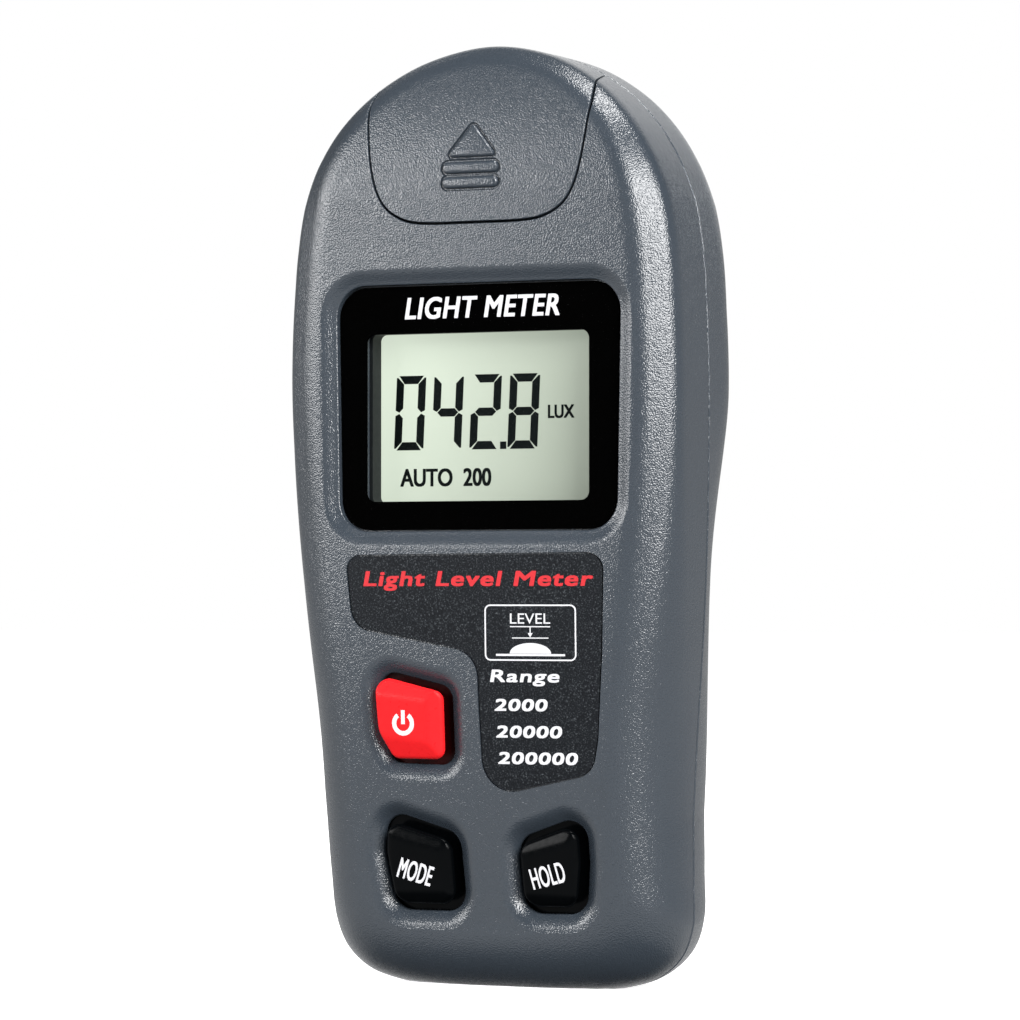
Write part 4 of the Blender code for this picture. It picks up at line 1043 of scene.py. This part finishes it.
def key_piece(name, corners, radius, centre, planes, mat, edge=0.55):
    """A faceted head: the height over the face is the lowest of several planes, blended, with rounded edges."""
    cx, cz = centre
    tilt = (face_y(cx, cz + 5) - face_y(cx, cz - 5)) / 10
    base_y = lambda z: face_y(cx, cz) + tilt * (z - cz)
    plan = spaced(rounded(corners, radius, 10), 0.45)
    mx, mz = np.mean(np.array(plan), 0)

    def height(x, z):
        return softmin([h + a * (x - cx) + b * (z - cz) for h, a, b in planes])

    rings = [[(x, base_y(z) + 2.6, z) for x, z in grown(plan, -0.75)],
             [(x, base_y(z) + 0.65, z) for x, z in grown(plan, -0.65)],
             [(x, base_y(z) + 0.30, z) for x, z in grown(plan, -0.20)]]
    # wall up to the start of the rounded edge, round it, then rings shrinking to the middle
    for t in np.linspace(0, 1, 7):
        inset = edge * (1 - math.cos(t * math.pi / 2))
        drop = edge * (1 - math.sin(t * math.pi / 2))
        rings.append([(x, base_y(z) - height(x, z) + drop, z) for x, z in grown(plan, -inset)])
    inner = grown(plan, -edge)
    for share in (0.94, 0.88, 0.82, 0.75, 0.68, 0.6, 0.52, 0.44, 0.36, 0.28, 0.2, 0.12, 0.05):
        rings.append([(mx + (x - mx) * share, 0, mz + (z - mz) * share) for x, z in inner])
        rings[-1] = [(x, base_y(z) - height(x, z), z) for x, _, z in rings[-1]]
    body = loft(name, rings, mat)
    flange_plan = grown(plan, 1.3)
    flange = loft("flange", [[(x, base_y(z) + WALL + 0.55, z) for x, z in flange_plan],
                             [(x, base_y(z) + WALL + 1.5, z) for x, z in flange_plan]])
    boss = disc("boss", cx, cz, 2.4, face_y(cx, cz) + WALL + 1.0, SWITCH_Y[0] - 1.6, 32)
    join(body, flange, boss)
    return body, lambda x, z: base_y(z) - height(x, z) - 0.004


POWER_PLAN = [(-15.8, 46.1), (-5.05, 43.65), (-5.0, 33.75), (-13.4, 33.75), (-15.25, 38.1)]
MODE_PLAN = [(-14.8, 24.6), (-4.7, 21.8), (-4.3, 12.3), (-13.9, 12.3), (-15.3, 19.9)]
HOLD_PLAN = [(6.5, 21.5), (15.7, 24.8), (15.9, 19.0), (15.2, 12.4), (7.0, 12.3)]
power, on_power = key_piece("key_power", POWER_PLAN, POWER_ROUND, POWER_C,
                            [(1.5, 0.0, 0.0), (2.85, -0.05, -0.40), (2.6, 0.05, 0.42), (3.5, -0.55, 0.0), (3.6, 0.42, 0.0)],
                            RED, 0.45)
# painted shade: the red key's wall goes dark below its top edge, standing in for the shadow in the gap round the key
tilt = (face_y(POWER_C[0], POWER_C[1] + 5) - face_y(POWER_C[0], POWER_C[1] - 5)) / 10
level_y = face_y(*POWER_C) - tilt * POWER_C[1]
painted_gap_shade(RED, tilt, level_y - 0.02, level_y + 0.32, 0.03)
place(power, "power_key", "power_button", slot="key_red")
mode, on_mode = key_piece("key_mode", MODE_PLAN, KEY_R, MODE_C,
                          [(0.55, 0.012, 0.0), (1.5, -0.06, -0.30), (2.0, 0.0, 0.40), (2.0, -0.46, -0.03), (2.6, 0.4, 0.0)],
                          KEY_BLACK, 0.6)
place(mode, "mode_key", "mode_button", slot="key_black")
hold, on_hold = key_piece("key_hold", HOLD_PLAN, KEY_R, HOLD_C,
                          [(0.55, -0.012, 0.0), (1.5, 0.07, -0.30), (2.0, 0.0, 0.40), (2.0, -0.46, -0.03),
                           (2.3, 0.4, 0.0)], KEY_BLACK, 0.6)
place(hold, "hold_key", "hold_button", slot="key_black")
place(lettering("key_mode_text", "MODE", -13.3, -7.4, 15.5, 18.6, INK_WHITE, 0.10, 0.06, math.radians(-14), on_mode, 0.03,
                1.06), "mode_key", slot="key_black")
place(lettering("key_hold_text", "HOLD", 8.3, 13.8, 15.5, 18.6, INK_WHITE, 0.0, 0.05, math.radians(14), on_hold, 0.03,
                1.06), "hold_key", slot="key_black")
icon_x, icon_z = -11.0, 39.0
arc = [(icon_x + 1.45 * math.sin(t), icon_z + 1.45 * math.cos(t)) for t in np.linspace(0.62, 2 * math.pi - 0.62, 49)]
place(draped("key_power_icon", [band(arc, 0.68), [(icon_x - 0.3, icon_z - 0.1), (icon_x + 0.3, icon_z - 0.1),
                                                  (icon_x + 0.3, icon_z + 1.95), (icon_x - 0.3, icon_z + 1.95)]],
             INK_WHITE, on_power), "power_key", slot="key_red")

# ------------------------------------------------------------------ rear shell, with the battery bay
BACK_D = [0.0, 0.012, 0.1, 0.2, 0.3, 0.38] + [0.40 + 0.60 * math.sin(t) for t in np.linspace(0, math.pi / 2, 18)[1:]]
BACK_COARSE = [0.0, 0.55, 0.82, 0.97, 1.0]
rear = rear_solid("rear_shell", 0.0, HALF, BACK_D, lip=0.16, mat=GREY)
rear_hollow = rear_solid("rear_hollow", WALL, 120, BACK_COARSE, past=1.0)
keep_out = [box("bay", -BAY_X - BAY_WALL, BAY_X + BAY_WALL, BAY_Y0 - BAY_WALL, 40.0, BAY_Z[0] - BAY_WALL,
                BAY_Z[1] + BAY_WALL), box("ledge", -20.6, 20.6, 10.6, 40.0, 8.8, 72.2)]
for x, z in CASE_SCREWS:
    keep_out.append(disc("post", x, z, 3.7, 0.1, 40.0, 32))
cut(rear_hollow, *keep_out)
cut(rear, rear_hollow)
cut(rear, box("bay_space", -BAY_X, BAY_X, BAY_Y0, 30, *BAY_Z))
door_plan = rounded([(-DOOR_X, DOOR_Z[0]), (DOOR_X, DOOR_Z[0]), (DOOR_X, DOOR_Z[1]), (-DOOR_X, DOOR_Z[1])],
                    [3.0, 3.0, 0.8, 0.8], 8)
cut(rear, prism("door_recess", grown(door_plan, GAP + 0.05), DOOR_Y - GAP, 30),
    box("hinge_relief", -DOOR_X - 0.35, DOOR_X + 0.35, 11.8, 14.0, 67.4, DOOR_Z[1] + 0.35))
cut(rear, turned("thumb_notch", [(0, 13.1)] + [(7.0 * math.sin(t), 15.3 - 2.2 * math.cos(t)) for t in
                                             np.linspace(0.15, math.pi / 2, 10)] + [(0, 15.3)], 0, DOOR_Z[0] - 1.2, 48))
for x, z in CASE_SCREWS:
    cut(rear, disc("counterbore", x, z, 2.5, 3.0, 30, 48), disc("hole", x, z, 1.35, -3, 30, 32))
for k in (-1, 0, 1):        # dividers between the cells
    if k:
        join(rear, box("rib", k * 5.75 - 0.35, k * 5.75 + 0.35, BAY_Y0 - 0.1, BAY_Y0 + 1.6, BAY_Z[0] - 0.1, BAY_Z[1] + 0.1))
place(rear, "case", "rear_case", slot="case_grey")

# ------------------------------------------------------------------ battery door
door = prism("door", door_plan, DOOR_Y, 30, GREY)
common(door, rear_solid("skin", 0.0, 160, BACK_D))
corner = box("corner", -40, 40, HINGE[0] - 0.001, 16, HINGE[1], 72)
edge = loft("edge", [[(x, HINGE[0] + HINGE_R * math.cos(a), HINGE[1] + HINGE_R * math.sin(a)) for a in
                      (2 * math.pi * k / 48 for k in range(48))] for x in (-45, 45)])
cut(corner, edge)
cut(door, corner)
join(door, box("latch", -4, 4, 10.9, 13.2, 14.2, 15.3))
for k in range(4):
    cut(door, box("grip", -7, 7, 14.0, 16, 14.0 + 1.8 * k, 14.9 + 1.8 * k))
arrow = rounded([(-2.6, 25.4), (2.6, 25.4), (0.0, 22.2)], 0.3, 4)
cut(door, prism("arrow", arrow, 14.2, 16))
place(door, "door", "battery_door", slot="case_grey")

# ------------------------------------------------------------------ sensor stack
tray = front_solid("holder", CAP_SKIN + 0.7, 140, COARSE_U, mat=HOLDER)
common(tray, box("keep", -24, 24, DECK_Y[0], SEAM - GAP, 111.0, 150.0))
cut(tray, prism("pocket", rounded([(-12.5, 112.6), (12.5, 112.6), (12.5, 126.0), (8.5, 131.6), (-8.5, 131.6),
                                   (-12.5, 126.0)], 2.0, 5), DECK_Y[1], 5.0))
cut(tray, turned("seat", [(9.8, -5.2 - 1.0), (9.8, -7.0), (10.1, -7.3), (10.1, -12.0)], 0, DOME_Z, 72))
cut(tray, disc("hole", 0, DOME_Z, 5.2, -12.0, 0.0, 64))
for s in (-1, 1):
    cut(tray, disc("clear", s * 22.8, 108.5, 3.2, -12.0, 5.0, 32))
place(tray, "case", "sensor_holder", slot="black_plastic")
outer_arc = [(DOME_R * math.cos(a), -7.5 - 4.3 * math.sin(a)) for a in (math.radians(t) for t in range(0, 88, 5))]
inner_arc = [((DOME_R - 1.0) * math.cos(a), -6.5 - 4.3 * math.sin(a)) for a in
             (math.radians(t) for t in range(80, 5, -8))]
loop = [(7.2, -6.5), (9.2, -6.5), (9.4, -6.7), (9.4, -7.3), (9.2, -7.5)] + outer_arc + [(0.0, -11.8), (0.0, -10.8)]
place(turned("dome", loop + inner_arc + [(7.2, -6.5)], 0, DOME_Z, 96, DIFFUSER), "case", "sensor_dome", slot="diffuser")
place(turned("filter", [(0, -6.2), (4.45, -6.2), (4.6, -6.05), (4.6, -5.1), (0, -5.1)], 0, DOME_Z, 64, FILTER_M), "case",
      "photopic_filter", slot="filter_glass")

# ------------------------------------------------------------------ cells and springs
for k, x in enumerate(CELL_X):
    up_way = k != 1
    lo, hi = (18.4, 61.7) if up_way else (18.9, 62.2)
    ring = [(0, lo), (3.2, lo), (3.3, lo + 0.12), (4.3, lo + 0.12), (4.6, lo), (4.95, lo + 0.05), (CELL_R, lo + 0.4),
            (CELL_R, lo + 13.0), (CELL_R, lo + 13.05), (CELL_R, hi - 0.5), (4.9, hi - 0.08), (4.4, hi), (2.6, hi - 0.1),
            (1.9, hi - 0.05), (1.9, hi + 0.85), (1.65, hi + 1.1), (0, hi + 1.1)]
    if not up_way:
        ring = [(r, lo + hi - z) for r, z in ring]
    cell = turned("cell_body_%d" % (k + 1), ring, 0, 0, 72, SLEEVE)
    mesh = cell.data
    mesh.materials.append(SLEEVE_BAND)
    mesh.materials.append(STEEL)
    for face in mesh.polygons:
        h = face.center.y / MM
        s = (h - lo) if up_way else (hi - h)
        rr = math.hypot(face.center.x, face.center.z) / MM
        face.material_index = 2 if rr < 4.5 else (1 if s > 30.0 else 0)
    for v in mesh.vertices:
        px, py, pz = v.co
        v.co = (px + x * MM, CELL_Y * MM + pz, py)
    outward(mesh)
    place(cell, "case", "cell_%d" % (k + 1), slot="cell_wrap", angle=28)


def wire(name, pts, radius, steps, mat):
    """A round wire along a path, capped."""
    path = np.array(pts, float)
    d = np.gradient(path, axis=0)
    d /= np.linalg.norm(d, axis=1)[:, None]
    ref = np.array([0.31, 0.17, 0.93])
    rings = []
    a = np.cross(d[0], ref)
    for p, t in zip(path, d):
        a = a - t * np.dot(a, t)
        a /= np.linalg.norm(a)
        b = np.cross(t, a)
        rings.append([tuple(p + radius * (a * math.cos(w) + b * math.sin(w))) for w in
                      (2 * math.pi * i / steps for i in range(steps))])
    return loft(name, rings, mat)


for k, x in enumerate(CELL_X):
    at_top = k == 1
    lo, hi = (14.75, 17.75) if not at_top else (62.85, 65.85)
    pts = []
    for i in range(3 * 36 + 1):
        t = i / 108
        r, a = 3.4 - 1.5 * t, 6 * math.pi * t
        z = lo + (hi - lo) * t if not at_top else hi - (hi - lo) * t
        pts.append((x + r * math.cos(a), CELL_Y + r * math.sin(a), z))
    place(wire("spring_%d" % (k + 1), pts, 0.32, 12, STEEL), "case", "battery_spring_%d" % (k + 1), slot="zinc_steel")


def curve_through(route, per=14):
    pts = [np.array(p, float) for p in route]
    out = []
    for i in range(len(pts) - 1):
        p0, p1, p2, p3 = pts[max(i - 1, 0)], pts[i], pts[i + 1], pts[min(i + 2, len(pts) - 1)]
        for k in range(per):
            t = k / per
            out.append(0.5 * (2 * p1 + (p2 - p0) * t + (2 * p0 - 5 * p1 + 4 * p2 - p3) * t * t
                              + (3 * p1 - p0 - 3 * p2 + p3) * t**3))
    return out + [pts[-1]]


place(wire("lead_red", curve_through([(-11.5, 8.0, 69.2), (-11.6, 5.5, 70.6), (-12.5, 2.6, 73.5), (-13.5, 0.5, 77.5),
                                      (-13.5, -0.05, 81.0)]), 0.55, 16, WIRE_R), "case", "battery_lead_red",
      slot="wire_red")
place(wire("lead_black", curve_through([(11.5, 8.0, 11.4), (11.4, 5.4, 10.9), (9.5, 2.6, 10.2), (6.5, 0.6, 9.4),
                                        (3.0, -0.05, 9.0)]), 0.55, 16, WIRE_B), "case", "battery_lead_black",
      slot="wire_black")

# ------------------------------------------------------------------ screws
for k, (x, z) in enumerate(CASE_SCREWS):
    end = max(-8.0, face_y(x, z) + 6.0)
    screw = turned("case_screw_body_%d" % (k + 1), [(0, end), (0.95, end + 0.8), (0.95, 3.3), (2.1, 3.3), (2.1, 4.2)] +
                   [(2.1 * math.cos(t), 4.2 + 0.8 * math.sin(t)) for t in np.linspace(0.2, 1.4, 8)] + [(0, 5.0)],
                   x, z, 48, STEEL)
    cut(screw, box("slot", x - 1.25, x + 1.25, 4.15, 6, z - 0.28, z + 0.28),
        box("slot", x - 0.28, x + 0.28, 4.15, 6, z - 1.25, z + 1.25))
    place(screw, "case", "case_screw_%d" % (k + 1), slot="zinc_steel")

# ------------------------------------------------------------------ pieces that keep their CAD shape
FINISH = {"zebra_strip_top": ZEBRA, "zebra_strip_bottom": ZEBRA, "main_pcb": BOARD, "mcu_chip": CHIP,
          "amplifier_chip": CHIP, "capacitor": STEEL, "crystal": STEEL, "switch_power": CHIP, "switch_mode": CHIP,
          "switch_hold": CHIP, "plunger_power": BLACK, "plunger_mode": BLACK, "plunger_hold": BLACK,
          "photodiode": NICKEL, "sensor_board": BOARD, "sensor_ribbon": FLEX, "contact_minus": NICKEL,
          "contact_plus": NICKEL, "contact_link_bottom": NICKEL, "contact_link_top": NICKEL, "lcd_glass": LCD_M}
for k in range(1, 5):
    FINISH["pcb_screw_%d" % k] = STEEL
for name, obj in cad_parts.items():
    if name in FINISH:
        obj.data.materials.clear()
        obj.data.materials.append(FINISH[name])
    elif not obj.hide_render:
        print("NODE WITHOUT FINISH", name)

# ------------------------------------------------------------------ floor, lamps and background
floor_mat, floor_nt, floor_sh = node_material("floor_paint")
floor_co = coords(floor_nt)
link(floor_nt, ramp(floor_nt, noise(floor_nt, floor_co, 3.0, 2.0), [(0.3, (0.90, 0.90, 0.90)), (0.7, (0.92, 0.92, 0.92))]),
     floor_sh.inputs["Base Color"])
floor_sh.inputs["Roughness"].default_value = 0.8
floor_sh.inputs["Specular IOR Level"].default_value = 0.0
floor_sh.inputs["Emission Color"].default_value = (1, 1, 1, 1)
floor_sh.inputs["Emission Strength"].default_value = 0.9
plane = bpy.data.meshes.new("floor")
plane.from_pydata([(-6, -6, 0), (6, -6, 0), (6, 6, 0), (-6, 6, 0)], [], [(0, 1, 2, 3)])
plane.materials.append(floor_mat)
floor = bpy.data.objects.new("floor", plane)
bpy.context.scene.collection.objects.link(floor)
floor.visible_diffuse = False
floor.visible_glossy = False
floor.visible_shadow = False

world = bpy.data.worlds.new("studio")
bpy.context.scene.world = world
world.use_nodes = True
wt = world.node_tree
back = wt.nodes["Background"]
back.inputs["Color"].default_value = (1.0, 1.0, 1.0, 1)
back.inputs["Strength"].default_value = 1.0
# the room round the backdrop: white walls, a darker ceiling
room = wt.nodes.new("ShaderNodeBackground")
way = wt.nodes.new("ShaderNodeTexCoord")
part = wt.nodes.new("ShaderNodeSeparateXYZ")
level = wt.nodes.new("ShaderNodeMapRange")
level.inputs["From Min"].default_value, level.inputs["From Max"].default_value = -1.0, 1.0
fade = wt.nodes.new("ShaderNodeValToRGB")
fade.color_ramp.elements[0].position, fade.color_ramp.elements[0].color = 0.0, (0.03, 0.03, 0.03, 1)
fade.color_ramp.elements[1].position, fade.color_ramp.elements[1].color = 0.85, (0.14, 0.14, 0.14, 1)
for spot, grey in ((0.14, 0.10), (0.27, 0.90), (0.39, 0.88), (0.47, 0.50), (0.53, 0.40), (0.68, 0.12)):
    fade.color_ramp.elements.new(spot).color = (grey, grey, grey, 1)
wt.links.new(way.outputs["Generated"], part.inputs["Vector"])
wt.links.new(part.outputs["Z"], level.inputs["Value"])
wt.links.new(level.outputs["Result"], fade.inputs["Fac"])
wt.links.new(fade.outputs["Color"], room.inputs["Color"])
room.inputs["Strength"].default_value = 1.0
seen = wt.nodes.new("ShaderNodeLightPath")
either = wt.nodes.new("ShaderNodeMixShader")
wt.links.new(seen.outputs["Is Camera Ray"], either.inputs["Fac"])
wt.links.new(room.outputs["Background"], either.inputs[1])
wt.links.new(back.outputs["Background"], either.inputs[2])
wt.links.new(either.outputs["Shader"], wt.nodes["World Output"].inputs["Surface"])


def softbox(name, azimuth, elevation, distance, width, height, power, colour=(1, 1, 1), aim=(0.0, 0.0, 0.075)):
    """A rectangular lamp. Azimuth 0 is in front of the face, positive to its right."""
    lamp = bpy.data.lights.new(name, "AREA")
    lamp.shape = "RECTANGLE"
    lamp.size, lamp.size_y = width, height
    lamp.energy = power
    lamp.color = colour
    obj = bpy.data.objects.new(name, lamp)
    az, el = math.radians(azimuth), math.radians(elevation)
    at = Vector((math.sin(az) * math.cos(el), -math.cos(az) * math.cos(el), math.sin(el))) * distance + Vector(aim)
    obj.location = at
    obj.rotation_euler = (at - Vector(aim)).to_track_quat("Z", "Y").to_euler()
    bpy.context.scene.collection.objects.link(obj)
    return obj


softbox("key_light", -44, 13, 1.0, 0.66, 0.25, 5.4)
softbox("right_strip", 53, 20, 1.1, 0.58, 0.58, 17.0)
softbox("left_strip", -74, 13, 1.0, 0.30, 0.32, 1.5)
softbox("overhead", 66, 73, 1.0, 0.32, 0.32, 6.5)
softbox("crown_light", -26, 38, 1.0, 0.18, 0.14, 0.42)
softbox("behind", -165, 30, 1.2, 1.2, 0.9, 3.0)

view_settings = bpy.context.scene.view_settings
view_settings.view_transform = "Standard"
view_settings.look = "None"
view_settings.exposure = 0.0
view_settings.gamma = 1.0
